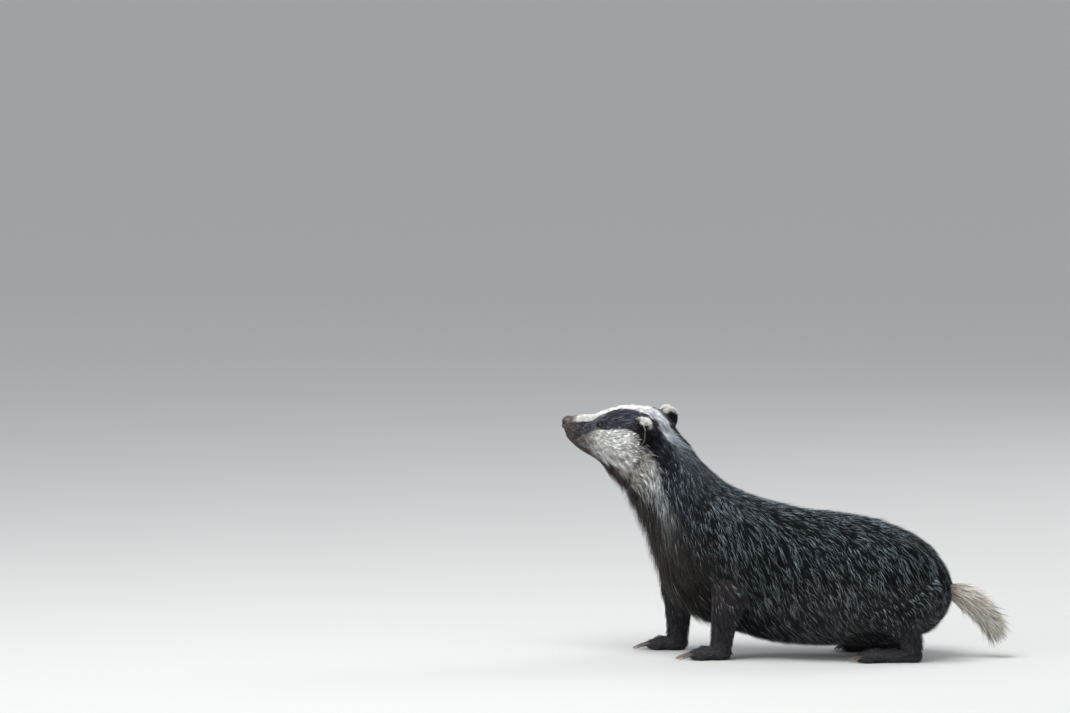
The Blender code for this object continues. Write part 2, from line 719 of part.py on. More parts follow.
TAIL_LINE = ((246, 0, 107), (266, 1, 101), (286, 3, 90), (303, 5, 75), (315, 6, 61))
TAIL_SIZE = ((15, 15), (14, 14), (11, 11), (8, 8), (3, 3))
TAIL_LOCK_LENGTH, TAIL_LOCK_WIDTH = 38.0, 6.5
TAIL_LOCK_THICK = 3.0
TAIL_RINGS, TAIL_AROUND = 4, 5
TAIL_FIRST, TAIL_RUN = 1.0, 2.6  # where the first ring roots along the line, and how far they reach
TAIL_SPREAD = 0.42
TAIL_FALL = 700.0  # a lock sags by the square of its reach over this
TAIL_ROOM = 25.0


def near_tail(points):
    """Whether a lock's outer half would touch the tail."""
    line = spline(np.array(TAIL_LINE, float), np.linspace(0, len(TAIL_LINE) - 1, 30))
    away = np.linalg.norm(points[2:, None] - line[None], axis=-1)
    return away.min() < TAIL_ROOM


def coat(start, end, apart, length, width, thick, rng):
    """All the locks that root between two stations."""
    made = []
    for t, angle in lock_roots(start, end, apart, rng):
        inset = float(coat_depth(t)) * CORE_SHARE
        size = rng.uniform(0.82, 1.15)
        rise = float(coat_depth(t)) * (1 - CORE_SHARE) * rng.uniform(0.85, 1.2)
        throat = np.interp(t, (9, 12, 15.5), (0.0, 1.0, 0.6)) * max(0.0, -np.sin(angle)) ** 3
        rise, size = rise + THROAT_RISE * throat, size * (1 + THROAT_GROWTH * throat)
        points, normals = lock_line(t, angle, length * size, rise, inset)
        if near_tail(points):
            continue
        made.append(lock(points, normals, width * rng.uniform(0.85, 1.15), thick, rng.uniform(-0.25, 0.25)))
    return made


def tail_locks(rng):
    """Long pale locks that root round the tail's bone and fan out past its end."""
    line = np.array(TAIL_LINE, float)
    made = []
    for i in range(TAIL_RINGS):
        t = TAIL_FIRST + TAIL_RUN * i / (TAIL_RINGS - 1)
        middle = spline(line, t)
        along = spline(line, t + 0.1) - spline(line, t - 0.1)
        along /= np.linalg.norm(along)
        sideways = np.array([0.0, 1.0, 0.0])
        over = np.cross(sideways, along)
        radius = float(np.interp(t, range(len(TAIL_SIZE)), [s[0] for s in TAIL_SIZE]))
        for j in range(TAIL_AROUND):
            angle = 2 * np.pi * (j + 0.5 * (i % 2) + rng.uniform(-0.15, 0.15)) / TAIL_AROUND
            out = over * np.cos(angle) + sideways * np.sin(angle)
            reach = np.array([-8.0, 9.0, 23.0, TAIL_LOCK_LENGTH * rng.uniform(0.85, 1.1)])
            lift = radius + np.array([-5.0, 0.6, 3.5, TAIL_SPREAD * reach[3] - 3.0])
            points = middle + along * reach[:, None] + out * lift[:, None]
            points[:, 2] -= reach**2 / TAIL_FALL
            twist = rng.uniform(-0.3, 0.3)
            made.append(lock(points, np.tile(out, (4, 1)), TAIL_LOCK_WIDTH, TAIL_LOCK_THICK, twist))
    return made


def limb_locks(path, size, levels, length, width, rng):
    """Locks that hang down the outer side of a shoulder or haunch, over the top of the leg."""
    path, size = np.array(path, float), np.array(size, float)
    side = np.sign(path[-1, 1])
    made = []
    for i, (t, turns) in enumerate(levels):
        middle = spline(path, t)
        along = spline(path, t + 0.2) - spline(path, t - 0.2)
        along /= np.linalg.norm(along)
        sideways = np.array([0.0, side, 0.0])
        fore = np.cross(along, sideways)
        fore /= np.linalg.norm(fore)
        half = spline(size, t)
        for turn in turns:
            angle = np.radians(turn + rng.uniform(-6, 6))
            spot = middle + fore * (half[0] * np.sin(angle)) + sideways * (half[1] * np.cos(angle))
            out = fore * (np.sin(angle) / half[0]) + sideways * (np.cos(angle) / half[1])
            out /= np.linalg.norm(out)
            down = along + np.array([LIMB_LOCK_LEAN, 0.0, 0.0])
            down -= out * (down @ out)
            down /= np.linalg.norm(down)
            reach = length * rng.uniform(0.85, 1.15) * np.array([0.0, 0.33, 0.66, 1.0])
            lift = np.array([-LOCK_SUNK, 1.5, 3.5, 5.0])
            points = spot + down * reach[:, None] + out * lift[:, None]
            made.append(lock(points, np.tile(out, (4, 1)), width, LOCK_THICK, rng.uniform(-0.2, 0.2)))
    return made


SHOULDER_LEVELS = ((1.2, (-60, -10, 40)), (1.9, (-75, -30, 20, 65)), (2.5, (-60, -10, 40, 80)))
HAUNCH_LEVELS = ((0.5, (-50, -10, 30, 70)), (1.2, (-60, -25, 10, 45, 80)))


def build_tail(pale, rng):
    tail = loft("tail", limb_rings(TAIL_LINE, TAIL_SIZE, 9, 12, level=False))
    joined("tail", tail, tail_locks(rng))
    rump = body_loft("rump", 0.0, 4.0, 10, 24, 0.0, SEAM / MM)
    return finished(largest(trimmed(tail, rump)), pale)


def build_leg(name, path, size, top, pads, toe_ahead, side, finish):
    column, pieces = leg_pieces(path, size, pads, toe_ahead, side)
    leg = joined(name, column, pieces)
    trimmed(leg, below(0))
    trimmed(leg, above(top - SEAM / MM / 2))
    return finished(largest(leg), finish)


def leg_cutter(path, size, top):
    """The leg grown by a little over the seam, below the level where it parts from the torso."""
    cutter = loft("leg_cutter", limb_rings(path, size, LEG_RINGS, LEG_AROUND, SEAM / MM + 0.15))
    return trimmed(cutter, above(top + SEAM / MM / 2))


def build_torso(grey, rng):
    torso = body_loft("torso", 0.0, NECK_AT + 0.8, 26, 20, CORE_SHARE)
    pieces = []
    for limb, paths, size, top in LIMBS:
        for side, word in SIDES:
            bulge = loft("bulge", limb_rings(paths[side], size, LEG_RINGS, LEG_AROUND))
            pieces.append(trimmed(bulge, below(top + SEAM / MM / 2)))
    pieces += coat(0.6, NECK_AT - 0.1, LOCK_APART, LOCK_LENGTH, LOCK_WIDTH, LOCK_THICK, rng)
    for side, word in SIDES:
        pieces += limb_locks(FORE_PATHS[side], FORE_SIZE, SHOULDER_LEVELS, *SHOULDER_LOCK, rng)
        pieces += limb_locks(HIND_PATHS[side], HIND_SIZE, HAUNCH_LEVELS, *HAUNCH_LOCK, rng)
    torso = joined("torso", torso, pieces)
    trimmed(torso, plane_block("ahead", NECK_AT, True))
    for limb, paths, size, top in LIMBS:
        for side, word in SIDES:
            trimmed(torso, leg_cutter(paths[side], size, top))
            trimmed(torso, foot_block(paths[side], limb, side))
    trimmed(torso, below(BELLY_CLEAR))
    return finished(largest(torso), grey)


def foot_block(path, limb, side):
    end = foot_frame(path, side)[0]
    ahead, behind = FORE_FOOT_ROOM if limb == "foreleg" else HIND_FOOT_ROOM
    y = sorted(side * across for across in FOOT_ROOM_ACROSS)
    low = (end[0] - ahead, y[0], ROOM_LOW[2])
    return block("foot_room", low, (end[0] + behind, y[1], FOOT_ROOM_UP))


def build_neck(grey, rng):
    neck = body_loft("neck", NECK_AT - 0.8, HEAD_AT + 0.8, 14, 20, CORE_SHARE)
    pieces = coat(NECK_AT + 0.3, HEAD_AT, NECK_LOCKS_APART, *NECK_LOCK, rng)
    neck = joined("neck", neck, pieces)
    trimmed(neck, plane_block("ahead", HEAD_AT, True))
    trimmed(neck, plane_block("behind", NECK_AT, False))
    return finished(largest(neck), grey)


HEAD_START = HEAD_AT - 0.6
HEAD_RINGS, HEAD_AROUND = 25, 22


def build_head(grey, eye_finish, nose_finish, ear_finish):
    head = body_loft("head", HEAD_START, MUZZLE_AT, HEAD_RINGS, HEAD_AROUND, CORE_SHARE)
    lids = []
    for side, word in SIDES:
        centre, normal = eye_place(side)
        lids.append(ball("lid", centre, [EYE_RADIUS + LID] * 3, None, 12, 8))
    joined("head", head, lids)
    trimmed(head, plane_block("behind", HEAD_AT, False))
    for side, word in SIDES:
        centre, normal = eye_place(side)
        turn = frame_from(normal, -head_axis((1, 0, 0.25)))
        trimmed(head, ball("socket", centre, [EYE_RADIUS + SEAM / MM] * 3, None, 12, 8))
        opening = (EYE_OPENING[1], EYE_OPENING[0], OPENING_DEPTH)
        trimmed(head, ball("opening", centre + normal * OPENING_DEPTH, opening, turn, 12, 8))
        eye = ball(f"eye_{word}", centre, [EYE_RADIUS] * 3, None, 12, 8)
        finished(eye, eye_finish)
    for side in (LEFT, RIGHT):
        route = spline(np.array(MOUTH_LINE, float), np.linspace(0, len(MOUTH_LINE) - 1, 12))
        spots, normals = nearest_on_head(route * (1, side, 1))
        sizes = [(MOUTH_RADIUS, MOUTH_RADIUS)] * len(spots)
        trimmed(head, swept("mouth_cut", spots, sizes, 6, head_axis((0, 0, 1))))
    slope, rise = np.cos(NOSE_TILT), np.sin(NOSE_TILT)
    turn = np.stack([head_axis((slope, 0, rise)), head_axis((0, 1, 0)), head_axis((-rise, 0, slope))], axis=1)
    middle = head_to_frame([NOSE_MIDDLE])[0]
    nose = ball("nose", middle, NOSE_SIZE, turn, 14, 8, NOSE_SQUARENESS)
    room_size = [s + SEAM / MM for s in NOSE_SIZE]
    room = ball("nose_room", middle, room_size, turn, 14, 8, NOSE_SQUARENESS)
    trimmed(head, room)
    for side in (LEFT, RIGHT):
        trimmed(nose, ball("nostril", head_to_frame([mirrored(NOSTRIL, side)])[0], NOSTRIL_SIZE, turn, 10, 8))
    finished(largest(nose), nose_finish)
    for side, word in SIDES:
        made = ear(f"ear_{word}", side)
        step = (MUZZLE_AT - HEAD_START) / (HEAD_RINGS - 1)
        back = HEAD_START - 4 * step
        size = (HEAD_RINGS + 4, HEAD_AROUND)
        grown = body_loft("head_room", back, MUZZLE_AT, *size, CORE_SHARE, SEAM / MM + 0.4)
        trimmed(made, grown)
        finished(largest(made), ear_finish)
    return finished(largest(head), grey)


def build():
    for old in list(bpy.data.objects):
        bpy.data.objects.remove(old)
    home = bpy.data.collections.new("badger")
    bpy.context.scene.collection.children.link(home)
    rng = np.random.default_rng(SEED)
    grizzled = material("grizzled_coat", (0.085, 0.085, 0.09), 0.8)
    masked = material("black_and_white_face", (0.62, 0.6, 0.55), 0.75)
    dark = material("black_leg_fur", (0.02, 0.02, 0.022), 0.8)
    pale = material("pale_tail_hair", (0.6, 0.56, 0.48), 0.85)
    skin = material("nose_leather", (0.07, 0.05, 0.05), 0.45)
    wet = material("dark_eye", (0.01, 0.008, 0.007), 0.08)
    horn = material("claw_horn", (0.12, 0.1, 0.08), 0.4)
    build_torso(grizzled, rng)
    build_neck(grizzled, rng)
    build_head(masked, wet, skin, dark)
    build_tail(pale, rng)
    for limb, paths, size, top in LIMBS:
        fore = limb == "foreleg"
        pads, toe_ahead = (FORE_PADS, FORE_TOE_AHEAD) if fore else (HIND_PADS, HIND_TOE_AHEAD)
        for side, word in SIDES:
            build_leg(f"{limb}_{word}", paths[side], size, top, pads, toe_ahead, side, dark)
            for k in range(TOE_COUNT):
                name = f"claw_{limb[:4]}_{word}_{k + 1}"
                long = FORE_CLAW if fore else HIND_CLAW
                finished(claw(name, paths[side], side, toe_ahead, long, k), horn)


build()
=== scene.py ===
import json

import bpy
import numpy as np
from mathutils import Matrix, Vector

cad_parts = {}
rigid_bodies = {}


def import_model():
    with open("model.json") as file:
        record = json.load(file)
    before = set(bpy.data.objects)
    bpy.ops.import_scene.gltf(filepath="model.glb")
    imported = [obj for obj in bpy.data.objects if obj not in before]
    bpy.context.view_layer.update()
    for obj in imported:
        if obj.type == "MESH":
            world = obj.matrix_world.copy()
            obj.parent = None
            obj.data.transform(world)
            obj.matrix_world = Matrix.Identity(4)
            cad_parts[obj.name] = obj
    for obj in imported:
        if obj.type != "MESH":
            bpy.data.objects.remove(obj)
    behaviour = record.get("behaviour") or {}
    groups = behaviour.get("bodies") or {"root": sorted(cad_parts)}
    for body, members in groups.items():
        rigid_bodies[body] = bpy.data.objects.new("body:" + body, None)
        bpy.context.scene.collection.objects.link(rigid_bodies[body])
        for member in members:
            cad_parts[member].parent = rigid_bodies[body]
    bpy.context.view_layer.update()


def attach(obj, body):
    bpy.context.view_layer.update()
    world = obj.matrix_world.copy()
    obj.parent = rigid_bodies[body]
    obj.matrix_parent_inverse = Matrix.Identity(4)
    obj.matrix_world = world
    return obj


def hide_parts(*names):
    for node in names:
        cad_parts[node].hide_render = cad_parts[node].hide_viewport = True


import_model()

# The picture is taken from the animal's left, a little ahead of its flank and just above its
# back, with a long lens far away. One pixel of the 1070 by 713 picture spans 1.4 mm of it.
MM = 0.001
PICTURE_WIDE, PICTURE_TALL = 1070, 713
PIXEL = 1.4 * MM
GROUND_PIXEL = (760, 655)  # where the drawn origin, on the floor, falls in the picture
CAMERA_AZIMUTH, CAMERA_ELEVATION = np.radians(6.0), np.radians(4.0)
CAMERA_AWAY = 9.0
SENSOR = 36.0
ORIGIN = np.array([34.0, 0.0, 0.0])  # the frame's origin, in drawn millimetres


def framed(points):
    """Drawn millimetres as metres of the frame."""
    return (np.asarray(points, float) - ORIGIN) * MM


away = Vector((
    np.sin(CAMERA_AZIMUTH) * np.cos(CAMERA_ELEVATION),
    -np.cos(CAMERA_AZIMUTH) * np.cos(CAMERA_ELEVATION),
    np.sin(CAMERA_ELEVATION),
))
rightward = Vector((np.cos(CAMERA_AZIMUTH), np.sin(CAMERA_AZIMUTH), 0.0))
upward = rightward.cross(-away)
aim = (
    Vector(framed((0, 0, 0)))
    + rightward * ((PICTURE_WIDE / 2 - GROUND_PIXEL[0]) * PIXEL)
    + upward * ((GROUND_PIXEL[1] - PICTURE_TALL / 2) * PIXEL)
)
lens = bpy.data.cameras.new("long_lens")
lens.sensor_width = SENSOR
lens.lens = SENSOR * CAMERA_AWAY / (PICTURE_WIDE * PIXEL)
lens.clip_end = 200.0
camera = bpy.data.objects.new("camera", lens)
camera.location = aim + away * CAMERA_AWAY
camera.rotation_euler = (-away).to_track_quat("-Z", "Y").to_euler()
bpy.context.scene.collection.objects.link(camera)
bpy.context.scene.camera = camera

# The studio: a pale matt floor that runs out of sight, soft light from a wide panel overhead,
# a second panel beside the camera, a weak one behind, and a pale even sky.
FLOOR_HALF = 400.0
PANELS = (
    ("overhead", (-0.6, -0.9, 3.0), 2.0, 108.0),
    ("beside_camera", (-3.2, -3.4, 1.8), 2.2, 62.0),
    ("behind", (2.6, 2.8, 2.2), 1.8, 60.0),
)
SKY = (0.80, 0.83, 0.87)
SKY_STRENGTH = 0.80

floor_mesh = bpy.data.meshes.new("studio_floor")
floor_mesh.from_pydata(
    [(x * FLOOR_HALF, y * FLOOR_HALF, 0.0) for x, y in ((-1, -1), (1, -1), (1, 1), (-1, 1))],
    [], [(0, 1, 2, 3)],
)
floor = bpy.data.objects.new("studio_floor", floor_mesh)
bpy.context.scene.collection.objects.link(floor)
floor_finish = bpy.data.materials.new("pale_floor")
floor_finish.use_nodes = True
floor_shader = floor_finish.node_tree.nodes["Principled BSDF"]
floor_shader.inputs["Base Color"].default_value = (0.50, 0.50, 0.49, 1.0)
floor_shader.inputs["Roughness"].default_value = 0.9
floor_mesh.materials.append(floor_finish)

for panel, place, size, power in PANELS:
    light = bpy.data.lights.new(panel, "AREA")
    light.shape, light.size, light.energy = "SQUARE", size, power
    lamp = bpy.data.objects.new(panel, light)
    lamp.location = place
    lamp.rotation_euler = (Vector((0, 0, 0.15)) - Vector(place)).to_track_quat("-Z", "Y").to_euler()
    bpy.context.scene.collection.objects.link(lamp)
sky = bpy.data.worlds.new("even_sky")
sky.use_nodes = True
sky.node_tree.nodes["Background"].inputs["Color"].default_value = (*SKY, 1.0)
sky.node_tree.nodes["Background"].inputs["Strength"].default_value = SKY_STRENGTH
bpy.context.scene.world = sky
bpy.context.scene.view_settings.view_transform = "Standard"


# Skin: the hide with its dense underfur, one closed piece from rump to muzzle with the legs, feet
# and tail bone grown into it. The body is drawn at the tips of its coat, through stations from the
# rump to the muzzle, and the skin lies under that by half the coat's depth.
LEFT, RIGHT = -1, 1
SIDES = ((LEFT, "left"), (RIGHT, "right"))
HEAD_TURN, HEAD_ROLL = np.radians(-14.0), np.radians(9.0)
NOSE_TIP = np.array([-283.0, 52.0, 314.8])
HEAD_TURNED = np.array(Matrix.Rotation(HEAD_TURN, 3, "Z") @ Matrix.Rotation(HEAD_ROLL, 3, "X"))

# Rump to neck, in mm: back x, y, z, belly x, y, z, half width, squareness of the section,
# height of its widest level, and how much narrower it grows towards the belly.
TRUNK = (
    (270, 0, 97, 269, 0, 89, 4, 2.0, 0.00, 0.00),
    (267, 0, 113, 262, 0, 70, 25, 2.0, 0.00, 0.00),
    (256, 0, 134, 247, 0, 48, 48, 2.1, -0.05, 0.00),
    (235, 0, 158, 222, 0, 34, 67, 2.2, -0.10, 0.04),
    (205, 0, 177, 190, 0, 26, 80, 2.2, -0.12, 0.08),
    (165, 0, 192, 150, 0, 22, 87, 2.2, -0.14, 0.04),
    (118, 0, 201, 105, 0, 20, 89, 2.2, -0.14, -0.02),
    (68, 0, 206, 58, 0, 20, 88, 2.2, -0.12, 0.00),
    (22, 0, 215, 10, 0, 25, 85, 2.2, -0.06, 0.12),
    (-18, 0, 227, -45, 0, 42, 80, 2.2, -0.02, 0.26),
    (-46, 0, 240, -95, 0, 66, 75, 2.2, -0.02, 0.26),
    (-68, 1, 256, -128, 2, 100, 69, 2.2, -0.04, 0.16),
    (-84, 4, 271, -145, 9, 142, 60, 2.1, -0.03, 0.08),
    (-97, 7, 285, -157, 19, 176, 52, 2.1, 0.00, 0.05),
    (-109, 10, 299, -169, 28, 196, 47, 2.1, 0.00, 0.05),
)
# Nape to muzzle, in mm from the nose tip: crown back and up, throat back and up, then the same.
HEAD = (
    (163, -1, 104, -107, 45.0, 2.1, 0.00, 0.06),
    (156, 14, 97, -95, 45.0, 2.1, 0.02, 0.08),
    (143, 26, 89, -84, 45.5, 2.1, 0.02, 0.10),
    (127, 30.5, 81, -74, 46.0, 2.1, 0.00, 0.10),
    (110, 31.2, 73, -64.5, 44.5, 2.1, 0.00, 0.12),
    (93, 29.8, 65, -55.5, 40.5, 2.1, 0.00, 0.12),
    (77, 27.5, 56.5, -48.5, 35.0, 2.1, 0.00, 0.12),
    (63, 24, 46, -42.5, 28.5, 2.1, -0.02, 0.10),
    (49, 17.8, 35, -37, 23.0, 2.2, -0.04, 0.10),
    (34, 16.6, 23, -29.5, 19.5, 2.3, -0.04, 0.10),
    (21, 16, 14, -21.5, 17.0, 2.3, -0.02, 0.08),
    (11.5, 13.5, 8.5, -16, 13.0, 2.2, 0.00, 0.05),
    (6.5, 8, 5.5, -10, 8.0, 2.0, 0.00, 0.00),
)
MUZZLE_AT = float(len(TRUNK) + len(HEAD) - 1)
FRAME_REACH = 1.2  # stations each way over which a section reads the body's direction
COAT_STATIONS = (0.0, 3.0, 8.0, 11.0, 14.0, 17.0, 20.0, 27.0)
COAT_DEPTHS = (14.0, 14.0, 13.0, 12.0, 11.0, 6.0, 2.4, 1.2)
SKIN_SHARE = 0.5  # how far down the coat the skin and its dense underfur lie

# Swellings and hollows of the head: mm back, out to the side, up, then reach and height.
HEAD_FORMS = (
    (64, 24, 17, 9, 2.2),
    (66, 30, 9, 8, -2.6),
    (100, 46, -22, 26, 3.5),
    (27, 18, -10, 12, 2.4),
    (46, 21, 4, 13, -1.6),
    (92, 16, 30, 20, 1.8),
    (18, 0, 15, 4, -0.5),
)
# The same for shoulders, flanks and haunches, as drawn points.
BODY_FORMS = (
    (-52, -62, 140, 62, 9.0),
    (-100, 50, 140, 62, 10.0),
    (188, -82, 100, 80, 8.0),
    (172, 82, 100, 80, 8.0),
    (10, -88, 110, 60, -5.0),
    (-10, 88, 110, 60, -5.0),
)


def on_head(points):
    """Head points, in mm back, right and up from the nose tip, turned and moved to the body."""
    return np.asarray(points, float) @ HEAD_TURNED.T + NOSE_TIP


def mirrored(point, side):
    """A point or a way on the right side, or with side -1 its mirror image on the left."""
    return np.array(point, float) * (1, side, 1)


def station_rows():
    """All stations as rows: back point, belly point and the four section values."""
    rows = list(TRUNK)
    for back, up, low_back, low_up, width, square, low, taper in HEAD:
        crown, throat = on_head([(back, 0, up), (low_back, 0, low_up)])
        rows.append((*crown, *throat, width, square, low, taper))
    return np.array(rows, float)


def swellings():
    """Centres, reaches and heights of all the bell-shaped swellings, in drawn millimetres."""
    forms = list(BODY_FORMS)
    for back, side, up, reach, rise in HEAD_FORMS:
        for hand, _ in SIDES:
            forms.append((*on_head([(back, hand * side, up)])[0], reach, rise))
    return np.array(forms)


ROWS, SWELLINGS = station_rows(), swellings()


def spline(rows, t):
    """Catmull-Rom curve: a cubic through the rows at 0, 1, 2 and so on, read at the values t."""
    t = np.clip(np.asarray(t, float), 0.0, len(rows) - 1.0)
    i = np.minimum(t.astype(int), len(rows) - 2)
    f = (t - i)[..., None]
    before, here = rows[np.maximum(i - 1, 0)], rows[i]
    after, beyond = rows[i + 1], rows[np.minimum(i + 2, len(rows) - 1)]
    return 0.5 * (
        2 * here
        + (after - before) * f
        + (2 * before - 5 * here + 4 * after - beyond) * f**2
        + (3 * here - before - 3 * after + beyond) * f**3
    )


def outline(t, angle):
    """A superellipse between back point and belly point: |across|^n + |height|^n = 1.

    Angle 0 is the left side and 90 degrees the back. The widest level is moved up or down and
    the width tapers towards the belly.
    """
    t, angle = np.broadcast_arrays(np.asarray(t, float), np.asarray(angle, float))
    row, ahead, behind = spline(ROWS, t), spline(ROWS, t + FRAME_REACH), spline(ROWS, t - FRAME_REACH)
    middle = (row[..., 0:3] + row[..., 3:6]) / 2
    upright = (row[..., 0:3] - row[..., 3:6]) / 2
    along = (ahead[..., 0:3] + ahead[..., 3:6] - behind[..., 0:3] - behind[..., 3:6]) / 2
    left = np.cross(upright, along)
    left /= np.linalg.norm(left, axis=-1, keepdims=True)
    width, square, low, taper = np.moveaxis(row[..., 6:10], -1, 0)
    across = np.sign(np.cos(angle)) * np.abs(np.cos(angle)) ** (2 / square)
    height = np.sign(np.sin(angle)) * np.abs(np.sin(angle)) ** (2 / square)
    across = across * (1 + taper * height)
    height = height + low * (1 - height**2)
    return middle + upright * height[..., None] + left * (width * across)[..., None]


def facing(t, angle):
    """Outward unit normal: the cross product of the outline's two slopes."""
    t, angle = np.asarray(t, float), np.asarray(angle, float)
    by_t = outline(t + 0.02, angle) - outline(t - 0.02, angle)
    by_angle = outline(t, angle + 0.01) - outline(t, angle - 0.01)
    normal = np.cross(by_angle, by_t)
    return normal / np.maximum(np.linalg.norm(normal, axis=-1, keepdims=True), 1e-9)


def surface(t, angle, inset):
    """The outline moved in by inset and out by the sum of the bells rise * exp(-2 away^2 / reach^2)."""
    points, normals = outline(t, angle), facing(t, angle)
    height = -np.broadcast_to(np.asarray(inset, float), points.shape[:-1])
    for *centre, reach, rise in SWELLINGS:
        gap = ((points - np.array(centre)) ** 2).sum(-1)
        height = height + rise * np.exp(-2 * gap / reach**2)
    return points + normals * height[..., None]


def skin_inset(t):
    """How deep the skin lies under the coat's tips: a share of the coat's depth at each station."""
    return np.interp(t, COAT_STATIONS, COAT_DEPTHS) * SKIN_SHARE


def ease(x, low, high):
    """A smooth step: 0 below low, 1 above high, 3f^2 - 2f^3 between."""
    f = np.clip((x - low) / (high - low), 0, 1)
    return f * f * (3 - 2 * f)


def throat_fringe(t, angle):
    """Share of the loose fringe that hangs under throat and breast: 1 in its middle, 0 elsewhere."""
    return ease(t, 9.0, 11.5) * ease(22 - t, 0, 4) * ease(-np.sin(angle), 0.3, 0.9)


# The hide's grid: rings by station, closest on the head, and columns by angle. It lies deeper under
# the fringe, is creased along the mouth, and rises to lids round the eyes.
RING_STRETCHES = ((0.0, 15.0, 140), (15.0, 20.0, 60), (20.0, MUZZLE_AT, 150))
AROUND = 196
MUZZLE_DOME, DOME_RINGS = 3.5, 5
EYE = np.array([65.0, 24.0, 10.0])
EYE_RADIUS, EYE_SUNK = 5.4, 4.4
LID_RADIUS = 6.5
LID_OPENING = np.array([4.5, 3.2])  # half length along the face, half height
LID_REACH, LID_FOLD, LID_CUT = 9.0, 0.5, 4.5  # width of the swelling, its fold, and the opening's depth
LIPS_FROM = 21.5
MOUTH_LINE = ((10, 0, -12), (12, 7, -12.5), (20, 13, -13.5), (31, 17, -16), (42, 20, -20.5), (52, 23, -26))
MOUTH_DEPTH, MOUTH_WIDTH = 1.3, 0.9

RING_T = np.concatenate([np.linspace(a, b, n, endpoint=b == MUZZLE_AT) for a, b, n in RING_STRETCHES])
RING_ANGLE = np.linspace(0, 2 * np.pi, AROUND, endpoint=False)
GRID_T, GRID_ANGLE = np.meshgrid(RING_T, RING_ANGLE, indexing="ij")
FRINGE_SUNK = 8.0  # how much deeper the skin lies under the fringe
HIDE = surface(
    GRID_T, GRID_ANGLE,
    skin_inset(GRID_T) + FRINGE_SUNK * throat_fringe(GRID_T, GRID_ANGLE) * ease(20.0 - GRID_T, 0, 3.5))


def unit(vectors):
    """Vectors divided by their lengths."""
    return vectors / np.maximum(np.linalg.norm(vectors, axis=-1, keepdims=True), 1e-9)


HIDE_BY_T = np.gradient(HIDE, RING_T, axis=0)
HIDE_BY_ANGLE = (np.roll(HIDE, -1, 1) - np.roll(HIDE, 1, 1)) * (AROUND / (4 * np.pi))
HIDE_FACING = unit(np.cross(HIDE_BY_ANGLE, HIDE_BY_T))


def read(table, t, angle):
    """A table over the hide's grid, read between its rings and columns by bilinear weights."""
    row = np.interp(t, RING_T, np.arange(len(RING_T)))
    column = (np.asarray(angle) / (2 * np.pi) % 1.0) * AROUND
    i = np.clip(row.astype(int), 0, len(RING_T) - 2)
    j = column.astype(int) % AROUND
    k = (j + 1) % AROUND
    f, g = row - i, column - np.floor(column)
    if table.ndim == 3:
        f, g = f[..., None], g[..., None]
    return (
        table[i, j] * (1 - f) * (1 - g) + table[i + 1, j] * f * (1 - g)
        + table[i, k] * (1 - f) * g + table[i + 1, k] * f * g
    )


def nearest(point):
    """Ring and column of the hide's grid point nearest to a drawn point."""
    return np.unravel_index(((HIDE - point) ** 2).sum(-1).argmin(), HIDE.shape[:2])


def eye_frame(side):
    """Middle of an eyeball, and a right-handed set: ahead along the face, up across it, and out."""
    i, j = nearest(on_head([mirrored(EYE, side)])[0])
    out = HIDE_FACING[i, j]
    middle = HIDE[i, j] - out * EYE_SUNK
    ahead = -HEAD_TURNED @ np.array([1.0, 0.0, 0.25])
    ahead = unit(ahead - out * (ahead @ out))
    return middle, np.stack([ahead, np.cross(out, ahead), out], axis=1)


def oval(points, place, size):
    """Points in a place's own axes, and how far out each lies as a share of an oval of that size."""
    middle, axes = place
    local = (points - middle) @ axes
    return local, np.hypot(local[..., 0] / size[0], local[..., 1] / size[1])


hide = HIDE.copy()
for side, _ in SIDES:
    route = spline(np.array(MOUTH_LINE, float), np.linspace(0, len(MOUTH_LINE) - 1, 60))
    lips = on_head(route * (1, side, 1))
    near = GRID_T > LIPS_FROM
    gap = np.linalg.norm(hide[near][:, None] - lips[None], axis=-1).min(1)
    hide[near] -= HIDE_FACING[near] * (MOUTH_DEPTH * np.exp(-((gap / MOUTH_WIDTH) ** 2)))[:, None]
    middle, axes = eye_frame(side)
    local, opening = oval(hide, (middle, axes), LID_OPENING)
    height, spread = local[..., 2], np.hypot(local[..., 0], local[..., 1])
    dome = np.sqrt(np.maximum(LID_RADIUS**2 - spread**2, 0))
    raised = np.maximum(height, dome) + LID_FOLD * np.exp(-np.abs(height - dome) * 1.6)
    sunk = np.where(opening < 1.08, raised - LID_CUT * np.clip((1.12 - opening) / 0.3, 0, 1), raised)
    local[..., 2] = np.where((spread < LID_REACH) & (height > 0), sunk, height)
    hide = local @ axes.T + middle


def grid_faces(rows, columns):
    """Quads over a grid of vertices, rows by columns, closed round the columns."""
    i, j = np.meshgrid(np.arange(rows - 1), np.arange(columns), indexing="ij")
    k = (j + 1) % columns
    quads = [i * columns + j, i * columns + k, (i + 1) * columns + k, (i + 1) * columns + j]
    return np.stack(quads, -1).reshape(-1, 4)


def fan_faces(ring, centre, reverse):
    """Triangles from a ring of vertices to one in its middle."""
    after = np.roll(ring, -1)
    third = np.full_like(ring, centre)
    return np.stack([after, ring, third] if reverse else [ring, after, third], -1)


